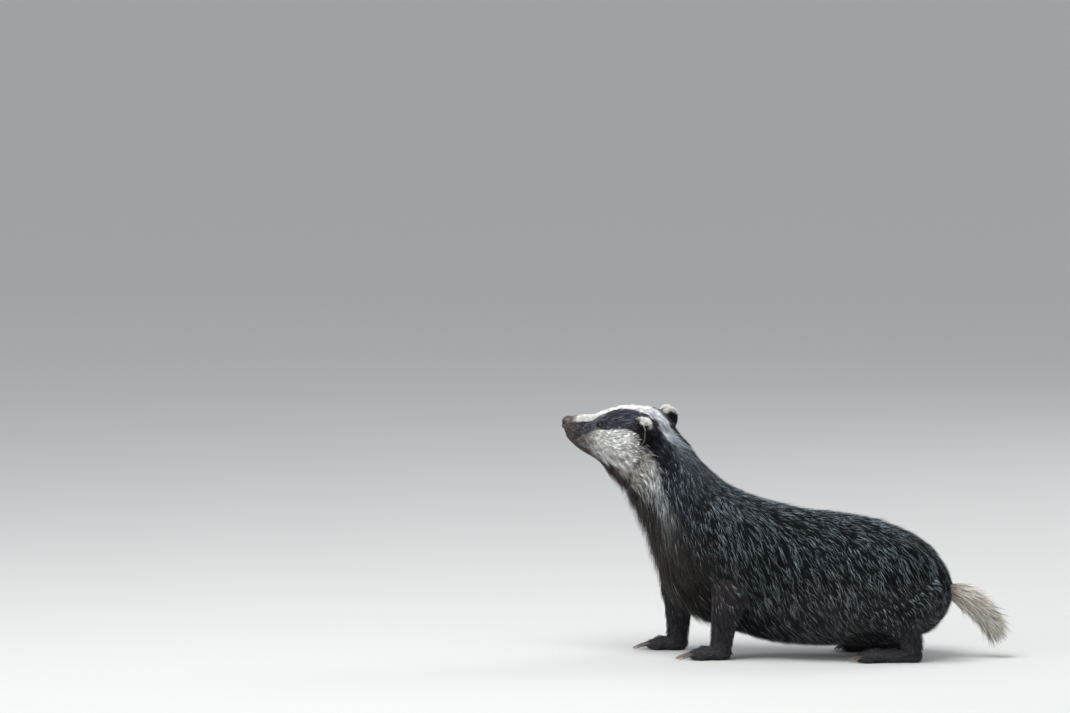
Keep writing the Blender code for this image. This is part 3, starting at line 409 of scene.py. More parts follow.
def built(name, points, quads, triangles=()):
    """A mesh object in the frame, from drawn points and index arrays of quads and triangles."""
    quads, triangles = np.asarray(quads, int).reshape(-1, 4), np.asarray(triangles, int).reshape(-1, 3)
    mesh = bpy.data.meshes.new(name)
    mesh.vertices.add(len(points))
    mesh.vertices.foreach_set("co", framed(points).astype(np.float32).ravel())
    corners = np.concatenate([quads.ravel(), triangles.ravel()])
    sizes = np.concatenate([np.full(len(quads), 4), np.full(len(triangles), 3)])
    mesh.loops.add(len(corners))
    mesh.loops.foreach_set("vertex_index", corners.astype(np.int32))
    mesh.polygons.add(len(sizes))
    mesh.polygons.foreach_set("loop_start", (np.cumsum(sizes) - sizes).astype(np.int32))
    mesh.update(calc_edges=True)
    mesh.shade_smooth()
    piece = bpy.data.objects.new(name, mesh)
    bpy.context.scene.collection.objects.link(piece)
    return piece


def tube(name, rings):
    """A closed piece through rings of points, with a fan over each end, faces outward."""
    count, around = rings.shape[:2]
    points = np.concatenate([rings.reshape(-1, 3), [rings[0].mean(0)], [rings[-1].mean(0)]])
    first, last = np.arange(around), np.arange(around) + (count - 1) * around
    quads = grid_faces(count, around)
    fans = np.concatenate([
        fan_faces(first, count * around, True), fan_faces(last, count * around + 1, False)])
    facets = points[quads]
    volume = (np.cross(facets[:, 1] - facets[:, 0], facets[:, 2] - facets[:, 0]) * facets[:, 0]).sum()
    if volume < 0:
        quads, fans = quads[:, ::-1], fans[:, ::-1]
    return built(name, points, quads, fans)


# The muzzle's end is rounded off with a few rings that shrink along a quarter circle.
muzzle_ring = hide[-1]
middle = muzzle_ring.mean(0)
ahead = -HEAD_TURNED[:, 0]
turns = np.linspace(0, np.pi / 2, DOME_RINGS + 1)[1:-1, None, None]
dome = middle + (muzzle_ring - middle)[None] * np.cos(turns) + ahead * MUZZLE_DOME * np.sin(turns)
skin = tube("skin", np.concatenate([hide, dome]))

# Legs, in mm: points of the bone line from the girdle to the foot, then half widths fore-aft and
# sideways at each. The far foreleg leads, and the hind feet stand nearly level.
FORE_PATHS = {
    LEFT: (
        (-50, -22, 188), (-52, -38, 158), (-46, -51, 128), (-38, -58, 98),
        (-43, -60, 66), (-48, -59, 38), (-50, -59, 14),
    ),
    RIGHT: (
        (-74, 16, 188), (-92, 32, 158), (-107, 45, 128), (-116, 53, 98),
        (-119, 57, 66), (-120, 57, 38), (-120, 57, 14),
    ),
}
HIND_PATHS = {
    LEFT: ((205, -38, 130), (196, -54, 104), (178, -64, 76), (192, -66, 54), (212, -64, 32), (216, -64, 14)),
    RIGHT: ((195, 38, 130), (182, 54, 104), (156, 64, 76), (166, 66, 54), (184, 64, 32), (188, 64, 14)),
}
FORE_SIZE = ((18, 12), (30, 18), (32, 21), (27, 21), (19.5, 18), (16, 15.5), (15, 16))
HIND_SIZE = ((34, 16), (50, 26), (46, 27), (29, 20), (18.5, 14.5), (14, 14))
# Pads as balls: ahead of the leg's end, up, then half length, width and height.
FORE_PADS = ((6, 9, 22, 18, 13), (20, 8, 17, 19, 12))
HIND_PADS = ((2, 8, 18, 13, 12), (26, 8, 30, 15, 11.5), (50, 8, 22, 18, 11))
# Each leg's kind, side, bone line, half widths and pads, and how far ahead its toes are.
LEGS = [
    (limb, word, side, paths[side], size, pads, toe_ahead)
    for limb, paths, size, pads, toe_ahead in (
        ("foreleg", FORE_PATHS, FORE_SIZE, FORE_PADS, 34.0),
        ("hindleg", HIND_PATHS, HIND_SIZE, HIND_PADS, 68.0))
    for side, word in SIDES]
TOE_SIZE, TOE_RISE, TOE_SPREAD = np.array([11.0, 4.7, 8.0]), 6.5, 7.8
TOE_BACKSET = (6.0, 1.5, 0.0, 1.5, 5.5)
FOOT_SPLAY = np.radians(6.0)
LEG_INSET = 1.6  # the leg's short coat over its skin
LEG_VOXEL = 1.7 * MM
TOE_INSET = 0.7


def foot_frame(path, side):
    """Where a leg ends on the floor, and its foot's own directions ahead, outward and up."""
    end = np.array(path[-1], float) * (1, 1, 0)
    ahead = np.array([-np.cos(FOOT_SPLAY), side * np.sin(FOOT_SPLAY), 0.0])
    across = side * np.array([ahead[1], -ahead[0], 0.0])
    return end, np.stack([ahead, across, [0.0, 0.0, 1.0]], axis=1)


def toe_place(path, side, toe_ahead, toe):
    """The middle of a toe, the outer ones set back in an arc, and its foot's directions."""
    end, axes = foot_frame(path, side)
    offset = (toe - 2) * TOE_SPREAD
    return end + axes @ np.array([toe_ahead - TOE_BACKSET[toe], offset, TOE_RISE]), axes


def ellipsoid(centre, radii, axes, rows=20, columns=28):
    """Rings of a ball: x = cos v, the rest sin v round it, scaled and turned."""
    v = np.linspace(0.03, np.pi - 0.03, rows)[:, None]
    u = np.linspace(0, 2 * np.pi, columns, endpoint=False)[None]
    ball = np.stack([np.cos(v) + 0 * u, np.sin(v) * np.cos(u), np.sin(v) * np.sin(u)], -1)
    return centre + (ball * radii) @ axes.T


def limb_rings(path, radii, count, around, inset=0.0, level=True):
    """Ellipses round a smooth path: level for a leg, square to the path for the tail."""
    path = np.array(path, float)
    t = np.linspace(0, len(path) - 1, count)
    middle = spline(path, t)
    along = unit(spline(path, t + 0.05) - spline(path, t - 0.05))
    if level:
        along = np.tile([0.0, 0.0, -1.0], (count, 1))
    sideways = np.tile([0.0, 1.0, 0.0], (count, 1))
    fore = unit(np.cross(sideways, along))
    size = spline(np.array(radii, float), t) - inset
    angle = np.linspace(0, 2 * np.pi, around, endpoint=False)
    return (
        middle[:, None]
        + fore[:, None] * (size[:, None, 0:1] * np.cos(angle)[None, :, None])
        + sideways[:, None] * (size[:, None, 1:2] * np.sin(angle)[None, :, None])
    )


def applied(piece):
    """The piece with its modifiers worked into its mesh."""
    graph = bpy.context.evaluated_depsgraph_get()
    graph.update()
    worked = bpy.data.meshes.new_from_object(piece.evaluated_get(graph))
    worked.materials.clear()
    piece.modifiers.clear()
    spare, piece.data = piece.data, worked
    bpy.data.meshes.remove(spare)
    return piece


def listed(items, field, kind, width=1):
    """One field of all the vertices, corners or faces of a mesh, as an array with a row for each."""
    values = np.empty(len(items) * width, kind)
    items.foreach_get(field, values)
    return values.reshape(-1, width) if width > 1 else values


def merged(name, pieces):
    """One object that holds the meshes of all the pieces, which it takes the place of."""
    points, quads, triangles, start = [], [], [], 0
    for piece in pieces:
        mesh = piece.data
        corners = listed(mesh.loops, "vertex_index", np.int32)
        sizes = listed(mesh.polygons, "loop_total", np.int32)
        starts = np.cumsum(sizes) - sizes
        points.append(listed(mesh.vertices, "co", np.float32, 3))
        four, three = starts[sizes == 4], starts[sizes == 3]
        quads.append(corners[four[:, None] + np.arange(4)] + start)
        triangles.append(corners[three[:, None] + np.arange(3)] + start)
        start += len(mesh.vertices)
        bpy.data.objects.remove(piece)
    drawn = np.concatenate(points) / MM + ORIGIN
    return built(name, drawn, np.concatenate(quads), np.concatenate(triangles))


def co_of(mesh):
    """The mesh's vertices in drawn millimetres."""
    return listed(mesh.vertices, "co", np.float32, 3).astype(float) / MM + ORIGIN


limbs = []
for limb, word, side, path, size, pads, toe_ahead in LEGS:
    end, axes = foot_frame(path, side)
    balls = [tube("leg", limb_rings(path, size, 48, 40, LEG_INSET))]
    for step, rise, *radii in pads:
        centre = end + axes @ np.array([step, 0.0, rise])
        balls.append(tube("pad", ellipsoid(centre, np.array(radii) - LEG_INSET, axes)))
    for toe in range(5):
        centre, axes = toe_place(path, side, toe_ahead, toe)
        balls.append(tube("toe", ellipsoid(centre, TOE_SIZE - TOE_INSET, axes)))
    leg = merged(f"{limb}_{word}_form", balls)
    leg.modifiers.new("blend", "REMESH").voxel_size = LEG_VOXEL
    soften = leg.modifiers.new("soften", "SMOOTH")
    soften.factor, soften.iterations = 0.5, 4
    applied(leg)
    sole = co_of(leg.data)
    sole[:, 2] = np.maximum(sole[:, 2], 0.0)
    leg.data.vertices.foreach_set("co", framed(sole).astype(np.float32).ravel())
    leg.data.update()
    limbs.append(leg)

TAIL_LINE = ((246, 0, 102), (266, 1, 95), (286, 3, 84), (303, 5, 70), (315, 6, 57))
TAIL_SIZE = ((11, 12), (10.5, 12), (9, 10), (6.5, 7), (3, 3))
TAIL_INSET = 2.0
tail_bone = tube("tail_bone", limb_rings(TAIL_LINE, TAIL_SIZE, 40, 32, TAIL_INSET, level=False))
heap = bpy.data.collections.new("grown_in")
bpy.context.scene.collection.children.link(heap)
for piece in (*limbs, tail_bone):
    bpy.context.scene.collection.objects.unlink(piece)
    heap.objects.link(piece)
grow = skin.modifiers.new("grow_in", "BOOLEAN")
grow.operation, grow.operand_type, grow.collection, grow.solver = "UNION", "COLLECTION", heap, "MANIFOLD"
applied(skin)
for piece in list(heap.objects):
    bpy.data.objects.remove(piece)
bpy.data.collections.remove(heap)


# The markings, which skin and coat share. They are read as the angle away from the crown's
# middle line, in degrees: white stripe, then black stripe, then white cheek, then dark throat.
MID_LINE = (
    (10, 90), (11.8, 84), (12.6, 80), (13.4, 78), (14, 78), (15, 79), (16, 77), (17, 77), (18, 83),
    (19, 88), (20, 89), (21, 90),
)
CROWN_EDGE = (
    (9.6, 60), (10.9, 40), (11.8, 30), (12.6, 24), (13.3, 20), (14.2, 15), (15, 14), (16.4, 14),
    (17.4, 12), (18.3, 13), (19, 11), (20, 11), (21, 14), (21.6, 19), (22, 25), (22.6, 32),
    (23.5, 38), (24.5, 43), (25.4, 50),
)
CROWN_FAR = 6.0  # how much wider the white of the crown is on the far side
STRIPE_EDGE = (
    (11.1, 80), (11.8, 75), (12.6, 70), (13.4, 63), (14, 57), (15, 55), (16, 52), (17, 50), (18, 54),
    (19, 60), (20, 64), (21, 68), (22, 70), (23, 76), (23.6, 86), (24, 100), (25, 125), (26, 180),
)
CHEEK_EDGE = (
    (11.0, 88), (12.1, 90), (12.7, 86), (13.4, 87), (14.4, 97), (16.3, 107), (18, 115), (20, 130),
    (21, 136), (22, 136), (23, 128), (24, 112),
)
# Colours at stations, linear red, green and blue.
CROWN_TONES = (
    (11.0, 0.026, 0.029, 0.033), (12.6, 0.042, 0.047, 0.054), (13.6, 0.082, 0.093, 0.108),
    (14.4, 0.22, 0.25, 0.28), (15.4, 0.46, 0.50, 0.54), (16.4, 0.60, 0.64, 0.68),
    (17.5, 0.66, 0.68, 0.71), (18.5, 0.69, 0.69, 0.69), (24.6, 0.68, 0.67, 0.64), (25.4, 0.17, 0.145, 0.14),
)
STRIPE_TONES = (
    (12, 0.018, 0.021, 0.026), (14, 0.012, 0.014, 0.019), (17.5, 0.024, 0.024, 0.030),
    (19, 0.038, 0.041, 0.051), (21.3, 0.034, 0.036, 0.044), (22.3, 0.13, 0.135, 0.16),
    (23.2, 0.060, 0.063, 0.080), (24, 0.045, 0.043, 0.050), (25, 0.100, 0.078, 0.074),
    (27, 0.13, 0.10, 0.095),
)
CHEEK_TONES = (
    (11.2, 0.060, 0.064, 0.064), (12.2, 0.19, 0.205, 0.205), (13.4, 0.29, 0.315, 0.32),
    (15, 0.32, 0.31, 0.285), (16.5, 0.47, 0.455, 0.42), (18.5, 0.65, 0.655, 0.64),
    (21, 0.72, 0.74, 0.735), (22.3, 0.50, 0.48, 0.45), (23.2, 0.26, 0.245, 0.23),
)
MOTTLE, CHIN, THROAT = (0.16, 0.125, 0.095), (0.11, 0.10, 0.09), (0.052, 0.044, 0.040)
CHARCOAL, UNDER_BROWN, PALE_TICK = (0.0086, 0.0108, 0.0124), (0.035, 0.0315, 0.0295), (0.345, 0.41, 0.45)
LEG_BLACK, TAIL_CREAM, EAR_HOLLOW_SHADE = (0.033, 0.031, 0.035), (0.70, 0.66, 0.58), (0.006, 0.005, 0.005)
LID_BLACK = (0.008, 0.007, 0.007)
UNDERFUR_PAINTED_SHADE = 0.5  # painted shade: how much darker the underfur is painted, for the shade of the hair over it


def at_station(table, t):
    """Values of a table of (station, value, ...) rows at the stations t."""
    table = np.array(table, float)
    read_off = [np.interp(t, table[:, 0], column) for column in table[:, 1:].T]
    return read_off[0] if len(read_off) == 1 else np.stack(read_off, -1)


def toward(tone, other, share):
    """A colour moved towards another by a share of the difference, for one colour or for arrays."""
    tone = np.asarray(tone, float)
    return tone + (np.asarray(other) - tone) * np.asarray(share)[..., None]


def ripple(points, wavelength, seed, slope=False):
    """A smooth random value near -1 to 1: seven sines along random ways, summed, or its uphill way."""
    draw = np.random.default_rng(seed)
    ways = unit(draw.normal(size=(7, 3))) * 2 * np.pi * draw.uniform(0.6, 1.5, (7, 1))
    turns = (points / wavelength) @ ways.T + draw.uniform(0, 2 * np.pi, 7)
    if slope:
        return np.cos(turns) @ ways / (2 * np.pi * np.sqrt(7))
    return np.sin(turns).sum(-1) / np.sqrt(7)


def markings(points, t, angle, waver, soft=3.0):
    """Colour of the coat, and the share of its hairs that end pale, at points of the hide.

    waver, in degrees, moves every edge to and fro, and soft is half an edge's width.
    """
    degrees = np.degrees(angle)
    turned = (degrees - at_station(MID_LINE, t) + 180) % 360 - 180
    away = np.abs(turned) + waver
    flank = np.sin(angle)
    tone = toward(THROAT, CHIN, ease(t, 20.5, 22.5))
    cheek = at_station(CHEEK_TONES, t)
    mottled = ease(ripple(points, 13, 4) + 0.035 * (away - 96), 0.2, 1.3) * ease(t, 13.0, 14.2)
    cheek = toward(cheek, MOTTLE, 0.45 * mottled)
    edge = at_station(CHEEK_EDGE, t) - away - 1.5 * waver
    tone = toward(tone, cheek, ease(edge, -soft * 2, soft * 2) * ease(t, 11.0, 11.9))
    tone = toward(tone, at_station(STRIPE_TONES, t), ease(at_station(STRIPE_EDGE, t) - away, -soft, soft))
    fade = soft * (1 + 6 * ease(16.5 - t, 0, 2))
    far_share = CROWN_FAR * (turned > 0) * ease(t, 16, 17.5) * ease(23 - t, 0, 2)
    crown = ease((at_station(CROWN_EDGE, t) + far_share - away) / fade, -1, 1)
    tone = toward(tone, at_station(CROWN_TONES, t), crown)
    breast = ease(t, 8.2, 10.2) * ease(0.35 - flank, 0, 0.5)
    brown = np.maximum(ease(-flank, -0.5, 0.5) * ease(9 - t, 0, 3), 0.8 * breast)
    trunk = toward(CHARCOAL, UNDER_BROWN, brown)
    # The top of the rump and loins is painted darker, a painted shade against the overhead light that falls
    # on it.
    trunk *= (1 - 0.3 * ease(5.5 - t, 0, 3) * ease(flank, 0.3, 0.9))[..., None]
    on_trunk = ease(11.5 - t + waver * 0.04, 0, 1.2)
    tone = toward(tone, trunk, on_trunk)
    ticks = 0.12 + 0.10 * ease(flank, -0.6, 0.6) + 0.05 * ripple(points, 45, 6)
    ticks = ticks + 0.07 * ease(t, 8, 10) * ease(flank, 0, 0.6)
    ticks = ticks - 0.10 * ease(5 - t, 0, 3) * ease(flank, 0.2, 0.8)
    ticks = on_trunk * ticks * (1 - 0.85 * breast)
    nape = ease(at_station(STRIPE_EDGE, t) - away, 0, 14) * (1 - on_trunk) * ease(14.6 - t, 0, 1.8)
    return tone, np.maximum(ticks, 0.13 * nape)


# Which of the skin's vertices are the body grid's own tells the station and angle of each. The
# others belong to legs and tail.
def keys(points):
    """One whole number for each vertex, from its place in thousandths of a millimetre."""
    whole = np.round(points * 1000).astype(np.int64) + (1 << 20)
    return (whole[:, 0] << 42) + (whole[:, 1] << 21) + whole[:, 2]


skin_co = co_of(skin.data)
body_keys = keys(framed(hide.reshape(-1, 3)).astype(np.float32).astype(float) / MM + ORIGIN)
order = np.argsort(body_keys)
found = np.clip(np.searchsorted(body_keys[order], keys(skin_co)), 0, len(order) - 1)
skin_row = order[found]
on_body = np.abs(hide.reshape(-1, 3)[skin_row] - skin_co).max(1) < 0.01
skin_t = np.where(on_body, GRID_T.ravel()[skin_row], 0)
skin_angle = np.where(on_body, GRID_ANGLE.ravel()[skin_row], 0)
skin_tone, _ = markings(skin_co, skin_t, skin_angle, 2.5 * ripple(skin_co, 9, 3))
# The underfur, with the skin at the muzzle's end and the tail's end, is painted darker, a painted shade of
# the coat over it.
skin_tone *= UNDERFUR_PAINTED_SHADE
muzzle_end = (~on_body) & (skin_co[:, 0] < -250)
tail_end = (~on_body) & (skin_co[:, 0] > 240) & (skin_co[:, 2] > 45)
skin_tone[~on_body] = LEG_BLACK
skin_tone[muzzle_end] = at_station(STRIPE_TONES, MUZZLE_AT) * UNDERFUR_PAINTED_SHADE
skin_tone[tail_end] = np.array(TAIL_CREAM) * UNDERFUR_PAINTED_SHADE
EAR_ROOT, EAR_STANDS, EAR_FACES = (126.5, 39.0, -4.0), (0.58, 0.40, 0.75), (-0.80, 0.60, 0.0)
EAR_SIZE = np.array([17.5, 22.0, 13.0])  # half width, half height, depth of the cup
EAR_UP = 0.38 * 36.0  # from the root to the middle of the rim
EAR_MOVED = {LEFT: (0.0, 0.0, 0.0), RIGHT: (3.0, 0.0, -6.0)}  # the far ear is laid back and down


def ear_frame(side):
    """The middle of an ear's rim, and its axes across, up and facing."""
    stands, faces = (HEAD_TURNED @ mirrored(way, side) for way in (EAR_STANDS, EAR_FACES))
    faces = unit(faces)
    across = unit(np.cross(stands, faces))
    up = np.cross(faces, across)
    root = on_head([mirrored(EAR_ROOT, side) + EAR_MOVED[side]])[0]
    return root + up * EAR_UP, np.stack([across, up, faces], axis=1)


def short_by_ears(points):
    """What is left of a hair's length: none inside an ear's cup, a third just ahead of its opening."""
    left = np.ones(len(points))
    for side, _ in SIDES:
        local, reach = oval(points, ear_frame(side), EAR_SIZE)
        left = np.where((reach < 1.25) & (np.abs(local[:, 2] - 7) < 11), 0.35, left)
        left = np.where((reach < 0.95) & (local[:, 2] < 2) & (local[:, 2] > -EAR_SIZE[2]), 0, left)
    return left


def short_by_eyes(points):
    """What is left of a hair's length just ahead of an eye, so that it ends short of the lids."""
    left = np.ones(len(points))
    for side, _ in SIDES:
        middle, axes = eye_frame(side)
        local = (points - middle) @ axes
        reach = np.hypot((local[:, 0] - 5) / 8, local[:, 1] / 5)
        left = np.where((reach < 1.3) & (local[:, 2] > 0) & (local[:, 2] < 12), np.clip(reach, 0.3, 1), left)
    return left


# The skin inside each ear's cup is painted near black, a painted shade of the ear's hollow.
skin_tone = toward(skin_tone, EAR_HOLLOW_SHADE, short_by_ears(skin_co) < 0.3)
for side, _ in SIDES:
    local, rim = oval(skin_co, eye_frame(side), LID_OPENING)
    near = (np.abs(local[:, 2]) < 8) & (rim < 1.6)
    skin_tone[near] = toward(skin_tone[near], LID_BLACK, ease(1.6 - rim[near], 0, 0.4))


def paint(mesh, colours):
    """Vertex colours under the name that the materials read."""
    layer = mesh.color_attributes.new("fur", "FLOAT_COLOR", "POINT")
    opaque = np.column_stack([colours, np.ones(len(colours))])
    layer.data.foreach_set("color", opaque.astype(np.float32).ravel())


class Wire:
    """An output of a shader node. Operators on it make the Math node of the same name."""

    def __init__(self, tree, socket):
        self.tree, self.socket = tree, socket

    def node(self, kind, settings=(), inputs=(), out=0):
        """A new node, its settings set first, then its inputs by name or number, as one output."""
        made = self.tree.nodes.new(kind)
        for name, value in dict(settings).items():
            setattr(made, name, value)
        for place, value in dict(inputs).items():
            if isinstance(value, Wire):
                self.tree.links.new(value.socket, made.inputs[place])
            else:
                made.inputs[place].default_value = value
        return Wire(self.tree, made.outputs[out])

    def maths(self, operation, first, second):
        return self.node("ShaderNodeMath", {"operation": operation}, {0: first, 1: second})

    def __add__(self, other):
        return self.maths("ADD", self, other)

    def __sub__(self, other):
        return self.maths("SUBTRACT", self, other)

    def __mul__(self, other):
        return self.maths("MULTIPLY", self, other)

    def __rsub__(self, other):
        return self.maths("SUBTRACT", other, self)

    __radd__, __rmul__ = __add__, __mul__


def finish(name, constants):
    """A Principled material with its constants set. Gives the material, a starting wire and the shader."""
    made = bpy.data.materials.new(name)
    made.use_nodes = True
    tree = made.node_tree
    shader = tree.nodes["Principled BSDF"]
    for socket, value in constants.items():
        shader.inputs[socket].default_value = value
    return made, Wire(tree, None), shader


def feed(wire, shader, socket):
    """A link from a wire to one of the shader's sockets."""
    wire.tree.links.new(wire.socket, shader.inputs[socket])


def grained(name, constants, scale, strength, detail=3.0, depth=0.6 * MM, swing=0.9, base=0.55):
    """Vertex colour times base plus swing times a fine noise, with a bump of the same grain."""
    made, start, shader = finish(name, constants)
    tone = start.node("ShaderNodeVertexColor", {"layer_name": "fur"})
    place = start.node("ShaderNodeTexCoord", out=3)
    grain = start.node("ShaderNodeTexNoise", {}, {"Vector": place, "Scale": scale, "Detail": detail})
    shade = grain * swing + base
    tone = start.node("ShaderNodeVectorMath", {"operation": "SCALE"}, {0: tone, "Scale": shade})
    feed(tone, shader, "Base Color")
    bump = start.node("ShaderNodeBump", {}, {"Height": grain, "Strength": strength, "Distance": depth})
    feed(bump, shader, "Normal")
    return made


underfur = grained("underfur", {"Roughness": 0.85, "Specular IOR Level": 0.25}, 1400.0, 0.5)
paint(skin.data, skin_tone)
skin.data.materials.append(underfur)
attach(skin, "root")
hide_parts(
    "torso", "neck", "head", "tail", "foreleg_left", "foreleg_right", "hindleg_left", "hindleg_right")


# Coat of the body: long, coarse bristles, dark, and on many with a long pale end, and painted darker
# at the root and in the gaps between clumps, a painted shade. They are rooted in the hide and lie back
# and down over each other, in loose clumps.
LONG_SHARES, TICK_SHARES, SHORT_SHARES = (
    np.array([0.0, 0.34, 0.68, 1.0]), np.array([0.0, 0.58, 0.70, 1.0]), np.array([0.0, 0.5, 1.0]))
LONG_WIDTHS, SHORT_WIDTHS = np.array([0.75, 1.0, 0.7]), np.array([0.9, 0.8])
ROOT_SUNK = 0.8
PATCH = 0.003  # size of a strand's own patch in the map for the bake
LEG_COVER, LID_ROOM = 9.0, 1.42  # how far the body's coat grows over a leg, and stays off the lids
TICK_NARROWER = 0.66
HAIR_LENGTHS = (
    (0, 26), (2, 31), (5, 33), (9, 32), (11, 29), (13, 25), (15, 20), (16.2, 17), (18, 14.5), (20, 11.5),
    (22, 8), (24, 4.5), (27, 3.2),
)
HAIR_WIDTHS = ((0, 0.42), (9, 0.40), (12, 0.39), (15, 0.38), (17, 0.34), (20, 0.27), (24, 0.20), (27, 0.16))
HAIR_APART = ((0, 1.9), (9, 1.82), (12, 1.62), (15, 1.42), (17, 1.26), (20, 1.10), (24, 0.86), (27, 0.72))
LIE_DROOPS = (
    (0, 80), (3, 66), (5, 54), (9, 48), (11, 32), (13, 12), (15, -8), (17, -18), (20, -16), (22, -6), (27, 4),
)


def lie(t, angle):
    """Angle by which hair turns down from straight back: none on the back, most on the flanks."""
    return np.radians(at_station(LIE_DROOPS, t) * np.abs(np.cos(angle)) ** 0.7)


def scattered(start, end, draw):
    """Roots between two stations, evenly by area and denser where the hair is finer.

    The cells of the hide's grid are laid end to end by the number of hairs each holds, and one
    root is drawn from each unit of that length.
    """
    inside = (RING_T[:-1] >= start) & (RING_T[:-1] < end)
    rows = np.flatnonzero(inside)
    area = np.linalg.norm(np.cross(HIDE_BY_T[rows], HIDE_BY_ANGLE[rows]), axis=-1)
    area *= (np.diff(RING_T)[rows] * (2 * np.pi / AROUND))[:, None]
    run = np.cumsum(area / at_station(HAIR_APART, RING_T[rows])[:, None] ** 2)
    count = int(run[-1])
    cell = np.searchsorted(run, np.arange(count) + draw.uniform(0, 1, count))
    cell = np.minimum(cell, area.size - 1)
    row, column = rows[cell // AROUND], cell % AROUND
    t = RING_T[row] + draw.uniform(0, 1, count) * (RING_T[row + 1] - RING_T[row])
    return t, (column + draw.uniform(0, 1, count)) * (2 * np.pi / AROUND)


def tufts(name, line, facing_out, half, widths, tones, patches):
    """Tapered three-sided strands along lines of points, closed at the root and sharp at the tip.

    line and facing_out are (strands, points, 3), half (strands), tones (strands, points, 3).
    """
    count, points = line.shape[:2]
    along = unit(np.gradient(line, axis=1))
    side = unit(np.cross(facing_out, along))
    top = np.cross(along, side)
    wide = half[:, None, None] * widths[None, :, None]
    body = line[:, :-1]
    rings = np.stack([
        body + side[:, :-1] * wide, body - side[:, :-1] * wide, body + top[:, :-1] * (wide * 0.9)], axis=2)
    size = 3 * (points - 1) + 1
    co = np.concatenate([rings.reshape(count, -1, 3), line[:, -1:]], axis=1)
    k, j = np.meshgrid(np.arange(points - 2), np.arange(3), indexing="ij")
    n = (j + 1) % 3
    quads = np.stack([3 * k + j, 3 * k + 3 + j, 3 * k + 3 + n, 3 * k + n], -1).reshape(-1, 4)
    last = 3 * (points - 2)
    ends = np.array([[0, 1, 2]] + [[last + i, size - 1, last + (i + 1) % 3] for i in range(3)])
    starts = (np.arange(count) * size)[:, None, None]
    piece = built(name, co.reshape(-1, 3), (quads + starts).reshape(-1, 4), (ends + starts).reshape(-1, 3))
    spread = np.repeat(tones[:, :-1], 3, axis=1)
    paint(piece.data, np.concatenate([spread, tones[:, -1:]], axis=1).reshape(-1, 3))
    lean = np.repeat(facing_out[:, :-1], 3, axis=1)
    lean = np.concatenate([lean, facing_out[:, -1:]], axis=1)
    corners_out = np.stack([side[:, :-1], -side[:, :-1], top[:, :-1]], axis=2).reshape(count, -1, 3)
    own = np.concatenate([corners_out, along[:, -1:]], axis=1)
    normals = unit(own * 0.85 + lean * 0.7).reshape(-1, 3)
    piece.data.normals_split_custom_set_from_vertices(normals)
    layer = piece.data.uv_layers.new(name="OFBake")
    step = np.repeat(np.arange(points - 1) / (points - 1), 3)
    along_patch = np.concatenate([step, [1.0]])
    across_patch = np.concatenate([np.tile([0.0, 1.0, 0.5], points - 1), [0.5]])
    corner = np.stack([across_patch, along_patch], -1) * PATCH
    uv = (patches[:, None] + corner[None]).reshape(-1, 2)
    order = listed(piece.data.loops, "vertex_index", np.int32)
    layer.data.foreach_set("uv", uv[order].astype(np.float32).ravel())
    return piece


def on_leg(points):
    """Whether points lie inside a leg's upper part, by the ellipse at their own level."""
    inside = np.zeros(len(points), bool)
    for _, _, _, path, size, _, _ in LEGS:
        t = np.linspace(0, len(size) - 1, 200)
        line, wide = spline(np.array(path, float), t), spline(np.array(size, float), t)
        level = np.interp(points[:, 2], line[::-1, 2], np.arange(200)[::-1])
        x, y, fore, out = (np.interp(level, np.arange(200), c) for c in (*line[:, :2].T, *wide.T))
        fore, out = fore - LEG_INSET - LEG_COVER, out - LEG_INSET - LEG_COVER
        gap = np.hypot((points[:, 0] - x) / fore, (points[:, 1] - y) / out)
        inside |= (gap < 1) & (points[:, 2] < line[0, 2]) & (points[:, 2] > 5)
    return inside


def clear_of_eyes(points):
    """Whether points keep out of both eyes' openings, with room to spare."""
    clear = np.ones(len(points), bool)
    for side, _ in SIDES:
        local, gap = oval(points, eye_frame(side), LID_OPENING)
        clear &= (gap > LID_ROOM) | (local[:, 2] < 0) | (np.abs(local[:, :2]).max(1) > 20)
    return clear


hair = grained("bristles", {"Roughness": 0.6, "Specular IOR Level": 0.05}, 420.0, 0.0)


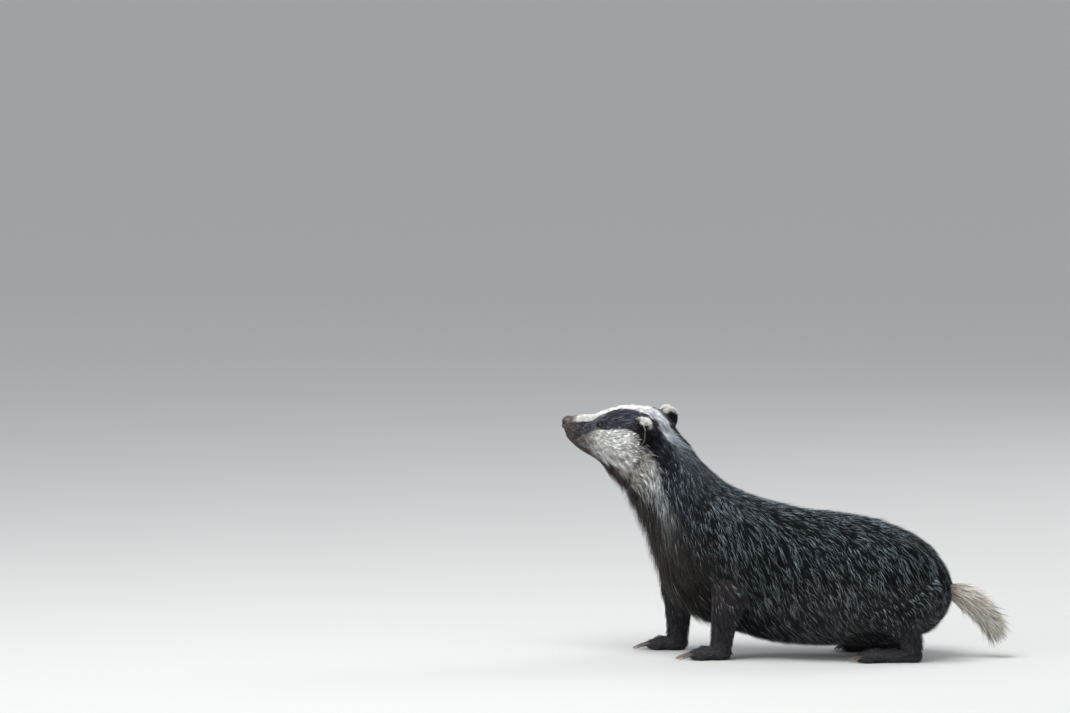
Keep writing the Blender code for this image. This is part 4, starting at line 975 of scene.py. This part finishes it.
def body_hair(name, start, end, seed, clumps, gather, ticked=False):
    """The coat between two stations, walked over the hide from each root along the lie.

    Strands lean together into clumps of a wavelength, by gather in mm at their tips. A ticked
    piece holds the hairs that end pale, the other the rest.
    """
    draw = np.random.default_rng(seed)
    root_t, root_angle = scattered(start, end, draw)
    roots = read(HIDE, root_t, root_angle)
    bend = np.interp(root_t, (14, 19), (1.5, 0.5))
    ragged = bend * (2.8 * ripple(roots, 9, 3) + draw.normal(0, 1.8, len(roots)))
    tone, ticks = markings(roots, root_t, root_angle, ragged, 0.8)
    streak = ripple(roots, 5.0, 13)
    keep = ~on_leg(roots) & (roots[:, 2] > 6) & clear_of_eyes(roots)
    ticks = ticks * (1 + 0.3 * ripple(roots, clumps, 5))
    keep &= (draw.uniform(0, 1, len(roots)) + 0.08 * streak < ticks) == ticked
    left = short_by_ears(roots)
    keep &= left > 0
    left = left * short_by_eyes(roots)
    root_t, root_angle, roots, tone, streak, left = (
        part[keep] for part in (root_t, root_angle, roots, tone, streak, left))
    count = len(roots)
    shares = TICK_SHARES if ticked else SHORT_SHARES
    under = ease(-np.sin(root_angle), 0.4, 0.95)
    fringe = throat_fringe(root_t, root_angle)
    length = at_station(HAIR_LENGTHS, root_t) * draw.uniform(0.7, 1.2, count) * (1 + 0.9 * fringe) * left
    clump, pull = ripple(roots, clumps, 5), ripple(roots, clumps, 5, slope=True) * gather
    lifting = np.maximum(0.15, 0.62 + 0.5 * draw.uniform(0, 1, count) ** 2 + 0.28 * clump + 0.12 * ticked)
    rise = (skin_inset(root_t) + 0.8) * lifting + fringe * (5 + 15 * draw.uniform(0, 1, count) ** 2)
    calm = 1 - 0.4 * ease(root_t, 17, 20)
    sway = calm * (11 * ripple(roots, 14, 8) + draw.normal(0, 9, count))
    sway = np.radians(7 * ripple(roots, 60, 7) + sway)
    down = np.where(np.cos(root_angle) > 0, -1.0, 1.0)
    t, angle = root_t, root_angle
    line, out = [], []
    for k, share in enumerate(shares):
        if k:
            reach = length * (share - shares[k - 1])
            turn = lie(t, angle) + sway
            by_t = np.linalg.norm(read(HIDE_BY_T, t, angle), axis=-1)
            by_angle = np.linalg.norm(read(HIDE_BY_ANGLE, t, angle), axis=-1)
            angle = angle + down * np.sin(turn) * reach / np.maximum(by_angle, 4)
            t = np.maximum(t - np.cos(turn) * reach / np.maximum(by_t, 2), 0.02)
        out.append(unit(read(HIDE_FACING, t, angle)))
        lift = np.full(count, -ROOT_SUNK) if k == 0 else rise * share**0.8
        across = pull - out[-1] * (pull * out[-1]).sum(-1, keepdims=True)
        line.append(read(HIDE, t, angle) + out[-1] * lift[:, None] + across * share**1.5)
    line, out = np.stack(line, 1), np.stack(out, 1)
    line[..., 2] -= (5 * under * ease(root_t, 0, 3) * (root_t < 17))[:, None] * shares**2
    line[..., 2] = np.maximum(line[..., 2], 2.0)
    pale_share = ease(tone[:, 1], 0.12, 0.4) * (1 - np.abs(np.sin(root_angle)))
    dark_head = ease(root_t, 15, 17) * (tone[:, 1] < 0.1)
    # vary mixes random streak and grizzle with painted shade: hairs in the gaps between clumps are painted
    # darker, and those in a clump's middle lighter.
    vary = 0.15 + 0.35 * pale_share * ease(20.5 - root_t, 0, 2)
    grizzle = 0.25 * ripple(roots, 9, 17) + 0.4 * ripple(roots, 3.4, 18) + draw.normal(0, 0.45, count)
    vary = 0.22 * streak + vary * clump + dark_head * grizzle
    tone = tone * np.exp(vary + draw.normal(0, 0.34 - 0.10 * (calm < 0.8), count))[:, None]
    tone = tone * (1 + 1.5 * dark_head * (draw.uniform(0, 1, count) < 0.12))[:, None]
    # Pale hair in the gaps between clumps is also painted browner and darker, a painted shade.
    gap_shade = pale_share * ease(-clump, 0.2, 1.2)
    tone = tone * (1 - gap_shade[:, None] * np.array([0.15, 0.28, 0.42]))
    stray = draw.uniform(0, 1, count) < 0.02 + 0.14 * ease(-np.sin(root_angle), 0, 0.6)
    tone[stray] *= 0.35
    pale = np.array(PALE_TICK) * draw.uniform(0.3, 1.1, count)[:, None]
    # The roots are painted darker than the rest of the hair, a painted shade of the coat that lies over them.
    if ticked:
        tones = np.stack([tone * 0.35, tone, pale, pale], 1)
    else:
        tones = np.stack([tone * np.interp(root_t, (12, 17), (0.25, 0.4))[:, None], tone, tone], 1)
    patches = np.stack([root_angle / (2 * np.pi) % 1, (root_t - start) / (end - start)], -1) * (1 - PATCH)
    half = at_station(HAIR_WIDTHS, root_t) * draw.uniform(0.75, 1.25, count)
    half *= TICK_NARROWER if ticked else 1
    piece = tufts(name, line, out, half, LONG_WIDTHS if ticked else SHORT_WIDTHS, tones, patches)
    piece.data.materials.append(hair)
    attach(piece, "root")


for number, (stretch, start, end, clumps, gather) in enumerate((
    ("rump", 0.15, 3.2, 12, 2.0), ("loin", 3.2, 5.2, 12, 2.0), ("barrel", 5.2, 7.2, 12, 2.0),
    ("ribs", 7.2, 9.2, 11, 1.9), ("shoulders", 9.2, 11.4, 10, 1.9), ("neck", 11.4, 14.0, 9, 2.2),
    ("nape", 14.0, 16.2, 8, 3.0),
)):
    body_hair(f"coat_{stretch}", start, end, 20 + number, clumps, gather)
    body_hair(f"ticks_{stretch}", start, end, 30 + number, clumps, gather, True)

# Coat of the head: the same hair, short and fine, flat along the stripes, and shortest at the
# muzzle. It keeps clear of the lids.
for number, (stretch, start, end, clumps, gather) in enumerate((
    ("crown", 16.2, 19.0, 7, 2.8), ("face", 19.0, 22.0, 7, 0.9), ("muzzle", 22.0, 26.9, 4, 0.3),
)):
    body_hair(f"fur_{stretch}", start, end, 40 + number, clumps, gather)


# Coat of the legs and feet: short, dense and black, longer where the legs run into the body. It
# grows down and a little back on the legs, and forward over the toes.
LEG_APART = 2.0
FLOOR_ROOM = 0.4
LEG_LENGTHS = ((0, 5), (15, 8), (30, 11), (60, 16), (90, 22), (120, 24))
LEG_RISES = ((0, 1.0), (15, 1.8), (40, 3.0), (80, 3.4), (110, 3.6))
LEG_WIDTHS = ((0, 0.28), (30, 0.34), (80, 0.45), (120, 0.56))


def strands(name, roots, out, heading, length, rise, half, tones, patches, shares, widths, sag=0.0):
    """Strands that start along a heading, rise off their surface and sag by the square of their run."""
    heading = unit(heading - out * (heading * out).sum(-1, keepdims=True))
    run = length[:, None] * shares[None]
    lift = rise[:, None] * shares[None] ** 0.8
    lift[:, 0] = -ROOT_SUNK
    line = roots[:, None] + heading[:, None] * run[..., None] + out[:, None] * lift[..., None]
    line[..., 2] -= sag * run**2
    line[..., 2] = np.maximum(line[..., 2], FLOOR_ROOM)
    facing_out = np.repeat(out[:, None], len(shares), axis=1)
    piece = tufts(name, line, facing_out, half, widths, tones, patches)
    piece.data.materials.append(hair)
    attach(piece, "root")
    return piece


def mesh_roots(corners, normals, draw):
    """Random points on triangles, even by area, with the normals there. corners is (n, 3, 3)."""
    area = np.linalg.norm(np.cross(corners[:, 1] - corners[:, 0], corners[:, 2] - corners[:, 0]), axis=-1) / 2
    run = np.cumsum(area / LEG_APART**2)
    count = int(run[-1])
    face = np.minimum(np.searchsorted(run, np.arange(count) + draw.uniform(0, 1, count)), len(corners) - 1)
    a, b = np.sqrt(draw.uniform(0, 1, count)), draw.uniform(0, 1, count)
    weights = np.stack([1 - a, a * (1 - b), a * b], -1)[..., None]
    return (corners[face] * weights).sum(1), unit((normals[face] * weights).sum(1))


skin.data.calc_loop_triangles()
triangles = listed(skin.data.loop_triangles, "vertices", np.int32, 3)
vertex_out = listed(skin.data.vertices, "normal", np.float32, 3)
leg_faces = triangles[(~on_body[triangles]).all(1) & (skin_co[triangles][:, :, 2].max(1) < 150)]
leg_faces = leg_faces[np.abs(skin_co[leg_faces][:, :, 1]).min(1) > 20]


def leg_hair(limb, path, side, word, ticked):
    """The hair of one limb, with the hairs that end pale as a piece of their own."""
    draw = np.random.default_rng(60 + 2 * side + len(limb))
    middle = skin_co[leg_faces].mean(1)
    mine = (np.sign(middle[:, 1]) == side) & (np.abs(middle[:, 0] - path[-1][0]) < 130)
    faces = leg_faces[mine]
    roots, out = mesh_roots(skin_co[faces], vertex_out[faces], draw)
    height = roots[:, 2]
    grizzled = ease(height, 58, 105) if limb == "foreleg" else ease(height, 38, 78)
    tick_share, upper = (0.04, UNDER_BROWN) if limb == "foreleg" else (0.19, CHARCOAL)
    keep = (height > 0.8) & ((draw.uniform(0, 1, len(roots)) < 0.015 + tick_share * grizzled) == ticked)
    roots, out, height, grizzled = roots[keep], out[keep], height[keep], grizzled[keep]
    count = len(roots)
    end, axes = foot_frame(path, side)
    column = ease(height, 14, 44)[:, None]
    back = 0.35 + 0.6 * ease(height, 50, 100)
    heading = column * np.stack([back, 0 * back, -1.0 + 0 * back], -1)
    heading = heading + (1 - column) * (axes[:, 0] + np.array([0, 0, -0.25]))
    heading = heading + 0.2 * np.stack([ripple(roots, 16, n) for n in (31, 32, 33)], -1)
    tone = toward(LEG_BLACK, upper, 0.8 * grizzled)
    tone = tone * np.exp(0.2 * ripple(roots, 5, 13) + draw.normal(0, 0.4, count))[:, None]
    pale = np.array(PALE_TICK) * draw.uniform(0.35, 1.1, count)[:, None]
    # The roots are painted darker, a painted shade of the hair over them.
    tones = [tone * 0.35, tone, pale, pale] if ticked else [tone * 0.35, tone, tone * 1.3]
    round_leg = np.arctan2(roots[:, 1] - end[1], roots[:, 0] - end[0]) / (2 * np.pi) + 0.5
    patches = np.stack([round_leg, height / 150], -1) * (1 - PATCH)
    piece = strands(
        f"{'ticks' if ticked else 'fur'}_{limb}_{word}", roots, out, heading,
        at_station(LEG_LENGTHS, height) * draw.uniform(0.7, 1.2, count),
        at_station(LEG_RISES, height) * draw.uniform(0.5, 1.4, count),
        at_station(LEG_WIDTHS, height), np.stack(tones, 1), patches,
        TICK_SHARES if ticked else SHORT_SHARES, LONG_WIDTHS if ticked else SHORT_WIDTHS)


for limb, word, side, path, *_ in LEGS:
    for ticked in (False, True):
        leg_hair(limb, path, side, word, ticked)


# Tail: long, loose, cream hair, browner towards the root and painted darker at the root itself, a painted
# shade, that grows all round the short bone, gathers into locks and fans out past its end.
TAIL_STRANDS = 4200
draw = np.random.default_rng(71)
line = np.array(TAIL_LINE, float)
t = 4 * draw.uniform(0.15, 1.0, TAIL_STRANDS) ** 0.8
turn = draw.uniform(0, 2 * np.pi, TAIL_STRANDS)
along = unit(spline(line, t + 0.1) - spline(line, t - 0.1))
over = unit(np.cross([0.0, 1.0, 0.0], along))
out = over * np.cos(turn)[:, None] + np.array([0.0, 1.0, 0.0]) * np.sin(turn)[:, None]
radius = np.interp(t, range(5), [size[0] for size in TAIL_SIZE]) - TAIL_INSET
roots = spline(line, t) + out * radius[:, None]
length = draw.uniform(22, 46, TAIL_STRANDS)
locks = np.stack([ripple(roots, 11, n) for n in (51, 52, 53)], -1)
shade = draw.uniform(0.6, 1.2, TAIL_STRANDS) * np.exp(0.25 * ripple(roots, 6, 54))
cream = np.array(TAIL_CREAM) * shade[:, None]
base = cream * (0.60, 0.47, 0.42)
# The root is painted darker still than the brown base, a painted shade of the locks over it.
tones = np.stack([base * 0.6, toward(base, cream, np.full(TAIL_STRANDS, 0.6)), cream, cream * 1.05], 1)
patches = np.stack([turn / (2 * np.pi), t / 4], -1) * (1 - PATCH)
tail_hair = strands(
    "tail_hair", roots, out, along + 0.20 * locks + 0.12 * draw.normal(size=(TAIL_STRANDS, 3)), length,
    length * draw.uniform(0.05, 0.38, TAIL_STRANDS), draw.uniform(0.30, 0.55, TAIL_STRANDS), tones, patches,
    LONG_SHARES, LONG_WIDTHS, sag=1 / 700)


# Whiskers: a few stiff, fine, dark bristles, rooted in the skin on each side of the muzzle and bent
# back and down.
WHISKERS, WHISKER_HALF = 26, 0.13
draw = np.random.default_rng(95)
t, lean = draw.uniform(23.0, 25.2, WHISKERS), draw.uniform(-16, 14, WHISKERS)
side = np.repeat([LEFT, RIGHT], WHISKERS // 2)
angle = np.where(side == LEFT, np.radians(lean), np.pi - np.radians(lean))
out = unit(read(HIDE_FACING, t, angle))
heading = np.array([HEAD_TURNED @ mirrored((0.9, 0.3, -0.3), one) for one in side])
heading += draw.normal(0, 0.15, (WHISKERS, 3))
length = draw.uniform(18, 34, WHISKERS)
whiskers = strands(
    "whiskers", read(HIDE, t, angle), out, heading, length, length * draw.uniform(0.5, 0.9, WHISKERS),
    np.full(WHISKERS, WHISKER_HALF), np.full((WHISKERS, 4, 3), 0.012),
    np.stack([angle / (2 * np.pi) % 1, t / 27], -1) * (1 - PATCH), LONG_SHARES, LONG_WIDTHS, sag=1 / 400)


# Ears: small rounded cups of skin that stand behind the cheeks, open to the front and side. The
# back is black, the top of the rim carries a tuft of white hair, and the hollow is dark.
EAR_WALL = 1.1
EAR_TOP = {LEFT: np.pi / 2 + 0.44, RIGHT: np.pi / 2 - 0.44}  # where round the rim its white tuft sits
EAR_HAIRS = (2600, 1700, 600)  # on the back, along the rim and in the hollow
EAR_BLACK, EAR_RIM = (0.008, 0.007, 0.008), (0.42, 0.38, 0.33)
EAR_HAIR_WHITE, EAR_HAIR_BLACK = (0.82, 0.80, 0.76), (0.014, 0.013, 0.015)
EAR_HAIR_BROWN = (0.05, 0.045, 0.042)


def ear_cup(v, u):
    """Half an ellipsoid's back for v in 0 to 1, then a rounded rim, then its hollow for v in 1 to 2."""
    turn = np.clip(v, 0, 1) * (np.pi / 2)
    inner = np.clip(v - 1, 0, 1)
    wall = EAR_WALL / EAR_SIZE[0]
    hollow = (1 - wall) * np.cos(inner * np.pi / 2) + wall * (1 - ease(inner, 0, 0.1))
    round_out = np.where(v <= 1, np.sin(turn), hollow)
    depth = np.where(v <= 1, -np.cos(turn), -(0.80 * np.sin(inner * np.pi / 2)) + 0.10 * np.exp(-inner * 30))
    lean = 0.25 * round_out**2 * np.maximum(0, -np.sin(u))
    return np.stack([round_out * np.cos(u), round_out * np.sin(u), depth + lean], -1) * EAR_SIZE


def paint_rings(piece, tone):
    """Colours of a tube: one for each point of its rings, and its two end points as their nearest."""
    tone = tone.reshape(-1, 3)
    paint(piece.data, np.concatenate([tone, tone[:1], tone[-1:]]))


ear_v, ear_u = np.meshgrid(
    np.concatenate([np.linspace(0.02, 1, 22), np.linspace(1.04, 1.98, 20)]),
    np.linspace(0, 2 * np.pi, 56, endpoint=False), indexing="ij")
ear_skin = grained("ear_skin", {"Roughness": 0.8, "Specular IOR Level": 0.12}, 1500.0, 0.4)
for side, word in SIDES:
    middle, axes = ear_frame(side)
    cup = middle + ear_cup(ear_v, ear_u) @ axes.T
    ear = tube(f"ear_{word}_cup", cup)
    paint_rings(ear, toward(EAR_BLACK, EAR_RIM, 0.7 * np.exp(-((ear_v - 1.0) / 0.045) ** 2)))
    ear.data.materials.append(ear_skin)
    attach(ear, "root")
    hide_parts(f"ear_{word}")
    draw = np.random.default_rng(80 + side)
    on_back, along_rim, inside = EAR_HAIRS
    count = sum(EAR_HAIRS)
    v = np.concatenate([
        np.sqrt(draw.uniform(0.0, 0.92, on_back)), draw.uniform(0.72, 1.02, along_rim),
        draw.uniform(1.1, 1.8, inside)])
    u = np.concatenate([
        draw.uniform(0, 2 * np.pi, on_back), draw.normal(EAR_TOP[side], 0.6, along_rim),
        draw.uniform(0, 2 * np.pi, inside)])
    spots = ear_cup(v, u)
    by_v, by_u = ear_cup(v + 0.01, u) - ear_cup(v - 0.01, u), ear_cup(v, u + 0.01) - ear_cup(v, u - 0.01)
    out = unit(np.cross(by_u, by_v)) @ axes.T
    on_rim = ease(v, 0.66, 0.86) * ease(1.1 - v, 0, 0.05) * ease(np.cos(u - EAR_TOP[side]), 0.66, 0.88)
    radial = np.stack([np.cos(u), np.sin(u), 0 * u], -1)
    white, inner = (draw.uniform(0, 1, count) < on_rim)[:, None], (v > 1.05)[:, None]
    heading = np.where(inner, np.array([0, 0.4, 0.8]) - radial * 0.3, np.array([0, 0.5, -0.7]) + radial * 0.5)
    edge = white & (v > 0.93)[:, None]
    heading = np.where(white, np.array([0, 0.1, -0.9]) + radial * 0.45, heading)
    heading = np.where(edge, radial + np.array([0, 0.3, -0.25]), heading)
    heading = heading + draw.normal(0, 0.16, (count, 3))
    heading = (heading + 0.22 * white * draw.normal(size=(count, 3))) @ axes.T
    tone = np.where(inner, EAR_HAIR_BROWN, np.where(white, EAR_HAIR_WHITE, EAR_HAIR_BLACK))
    tone = tone * draw.uniform(0.6, 1.15, count)[:, None]
    length = np.where(white[:, 0], draw.uniform(6, 13, count), draw.uniform(5, 9, count))
    length *= 1 - 0.4 * edge[:, 0]
    rise = np.where(white[:, 0], draw.uniform(0, 2.6, count), draw.uniform(0.4, 1.2, count))
    # Each hair's root is painted darker, a painted shade of the hair over it.
    piece = strands(
        f"ear_{word}_hair", middle + spots @ axes.T, out, heading, length, rise,
        draw.uniform(0.24, 0.36, count), np.stack([tone * 0.6, tone, tone], 1),
        np.stack([u / (2 * np.pi) % 1, v / 2], -1) * (1 - PATCH), SHORT_SHARES, SHORT_WIDTHS)


# Eyes: small wet balls, nearly black, with a dark brown ring round the pupil, set deep behind
# bare black lids.
PUPIL_OUT, IRIS_OUT = 21.0, 46.0  # edges of pupil and iris, in degrees from the eye's axis
IRIS, PUPIL_TONE, OUTER_SHADE = np.array([0.009, 0.006, 0.005]), 0.003, 0.010
LID_GROWN, LID_THICK = 0.40, 0.35
wet, start, shader = finish("wet_eye", {"Roughness": 0.04, "IOR": 1.6})
feed(start.node("ShaderNodeVertexColor", {"layer_name": "fur"}), shader, "Base Color")
lid_finish, start, shader = finish("lid_skin", {
    "Base Color": (0.006, 0.005, 0.005, 1.0), "Roughness": 0.5, "Specular IOR Level": 0.3})
for side, word in SIDES:
    middle, axes = eye_frame(side)
    rings = ellipsoid(middle, np.full(3, EYE_RADIUS), axes[:, [2, 0, 1]], 40, 40)
    eye = tube(f"eyeball_{word}", rings)
    off = np.degrees(np.arccos(np.clip(unit(rings - middle) @ axes[:, 2], -1, 1)))[..., None]
    paint_rings(eye, np.where(off < PUPIL_OUT, PUPIL_TONE, np.where(off < IRIS_OUT, 1.0, OUTER_SHADE) * IRIS))
    eye.data.materials.append(wet)
    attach(eye, "root")
    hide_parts(f"eye_{word}")
    # The lid's rim is a band round the opening that rolls from the eyeball over onto the skin.
    v, u = np.meshgrid(np.linspace(0, 1, 14), np.linspace(0, 2 * np.pi, 72, endpoint=False), indexing="ij")
    grow = 0.92 + LID_GROWN * v
    flat = np.stack([LID_OPENING[0] * grow * np.cos(u), LID_OPENING[1] * grow * np.sin(u)], -1)
    flat[..., 1] *= 1 - 0.22 * np.cos(u) ** 2
    spread = (flat**2).sum(-1)
    ball = np.interp(
        v, (0, 0.25, 0.5, 1.0), (EYE_RADIUS - 0.3, EYE_RADIUS + 0.75, LID_RADIUS + 0.35, LID_RADIUS - 0.35))
    lid = np.concatenate([flat, np.sqrt(np.maximum(ball**2 - spread, 4))[..., None]], -1)
    band = built(f"eyelids_{word}", (middle + lid @ axes.T).reshape(-1, 3), grid_faces(14, 72))
    band.modifiers.new("thick", "SOLIDIFY").thickness = -LID_THICK * MM
    applied(band)
    band.data.materials.append(lid_finish)
    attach(band, "root")


# Nose: a bare, moist, pebbled pad, squared off at its corners, with comma-shaped nostrils that
# open to the front and side and a groove down the middle.
NOSE_MIDDLE, NOSE_SIZE, NOSE_SQUARENESS = (10.5, 0.0, 5.0), np.array([10.5, 12.0, 9.5]), 2.6
NOSE_TILT = np.radians(-14.0)
NOSTRIL_AT, NOSTRIL_REACH = (-0.62, 0.76, 0.02), (0.50, 0.42, 0.20)
NOSE_BROWN, NOSE_UNDER_SHADE, NOSTRIL_SHADE = (0.046, 0.032, 0.035), (0.028, 0.019, 0.020), (0.003, 0.002, 0.002)
slope, lift = np.cos(NOSE_TILT), np.sin(NOSE_TILT)
nose_axes = np.stack(
    [HEAD_TURNED @ np.array(way) for way in ((slope, 0, lift), (0, 1, 0), (-lift, 0, slope))], axis=1)
v = np.linspace(0.02, np.pi - 0.02, 90)[:, None]
u = np.linspace(0, 2 * np.pi, 120, endpoint=False)[None]
ball = np.stack([-np.cos(v) + 0 * u, np.sin(v) * np.cos(u), np.sin(v) * np.sin(u)], -1)
ball /= ((np.abs(ball) ** NOSE_SQUARENESS).sum(-1, keepdims=True)) ** (1 / NOSE_SQUARENESS)
pit = np.zeros(ball.shape[:2])
for side, _ in SIDES:
    gap = unit(ball) - unit(np.array(NOSTRIL_AT) * (1, side, 1))
    gap = np.stack([gap[..., 0] + gap[..., 2], gap[..., 1], gap[..., 2] - gap[..., 0]], -1) / NOSTRIL_REACH
    pit += np.exp(-0.6 * (gap**2).sum(-1))
    wing = (ball - np.array([-0.55, 0.92 * side, -0.15])) / (0.35, 0.10, 0.22)
    pit += 0.35 * np.exp(-(wing**2).sum(-1))
groove = np.exp(-((ball[..., 1] / 0.045) ** 2)) * ease(-ball[..., 0], 0.2, 0.6)
groove *= ease(0.35 - ball[..., 2], 0, 0.4)
pebble = ripple(ball * 12, 0.9, 91) * 0.014
depth = 1 - 0.34 * np.minimum(pit, 1) - 0.06 * groove + pebble * (1 - np.minimum(pit, 1))
nose_points = on_head([NOSE_MIDDLE])[0] + ((ball * depth[..., None]) * NOSE_SIZE) @ nose_axes.T
nose = tube("nose_pad", nose_points)
# The underside of the pad is painted darker, a painted shade.
tone = toward(NOSE_BROWN, NOSE_UNDER_SHADE, ease(-ball[..., 2], 0.1, 0.9))
# The nostrils' pits are painted near black, a painted shade of the holes.
paint_rings(nose, toward(tone, NOSTRIL_SHADE, ease(pit, 0.25, 0.7)))
leather, start, shader = finish(
    "nose_leather", {"Roughness": 0.42, "Coat Weight": 0.15, "Coat Roughness": 0.25})
place = start.node("ShaderNodeTexCoord", out=3)
cells = start.node("ShaderNodeTexVoronoi", {"feature": "DISTANCE_TO_EDGE"}, {"Vector": place, "Scale": 900.0})
feed(start.node("ShaderNodeVertexColor", {"layer_name": "fur"}), shader, "Base Color")
bump = start.node("ShaderNodeBump", {}, {"Height": cells, "Strength": 0.8, "Distance": 0.0006})
feed(bump, shader, "Normal")
nose.data.materials.append(leather)
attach(nose, "root")
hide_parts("nose")


# Claws: long tapered horns, one grown out of the end of every toe, longest in front, dark at the
# root and paler at the tip. They curve down to the floor, and each foot's five are one piece.
CLAW_LENGTHS = {"foreleg": 24.5, "hindleg": 14.5}  # from a root 4.5 mm inside the toe
CLAW_THICK, CLAW_FLATTER, CLAW_SUNK, CLAW_RISE, TIP_RISE = 2.5, 0.72, 4.5, 1.5, 1.2
CLAW_ROOT, CLAW_TIP = (0.030, 0.022, 0.018), (0.22, 0.17, 0.12)
horn = grained("claw_horn", {"Roughness": 0.38}, 700.0, 0.3, detail=2.0, depth=0.3 * MM, swing=0.8, base=0.6)
share = np.linspace(0, 1, 18)[:, None]
thick = CLAW_THICK * (1 - 0.88 * share**1.3)
shade = toward(CLAW_ROOT, CLAW_TIP, ease(share[:, 0], 0.2, 1.0))
angle = np.linspace(0, 2 * np.pi, 16, endpoint=False)[None, :, None]
for limb, word, side, path, _, _, toe_ahead in LEGS:
    horns = []
    for toe in range(5):
        base, axes = toe_place(path, side, toe_ahead, toe)
        ahead, across = axes[:, 0], axes[:, 1]
        base = base + ahead * (TOE_SIZE[0] - CLAW_SUNK) + (0, 0, CLAW_RISE)
        fall = np.array([0, 0, -1.0]) * (base[2] - TIP_RISE) * share**1.8
        curve = base + (ahead + across * (toe - 2) * 0.10) * (CLAW_LENGTHS[limb] * share) + fall
        way = unit(np.gradient(curve, axis=0))
        flat = unit(np.cross([0.0, 0.0, 1.0], way))
        top = np.cross(way, flat)
        rings = curve[:, None] + flat[:, None] * (CLAW_FLATTER * thick[:, None] * np.cos(angle))
        horns.append(tube("horn", rings + top[:, None] * (thick[:, None] * np.sin(angle))))
    claws = merged(f"claws_{limb}_{word}", horns)
    paint(claws.data, np.concatenate([np.repeat(shade, 16, axis=0), shade[:1], shade[-1:]] * 5))
    claws.data.materials.append(horn)
    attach(claws, "root")
    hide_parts(*[f"claw_{limb[:4]}_{word}_{toe + 1}" for toe in range(5)])
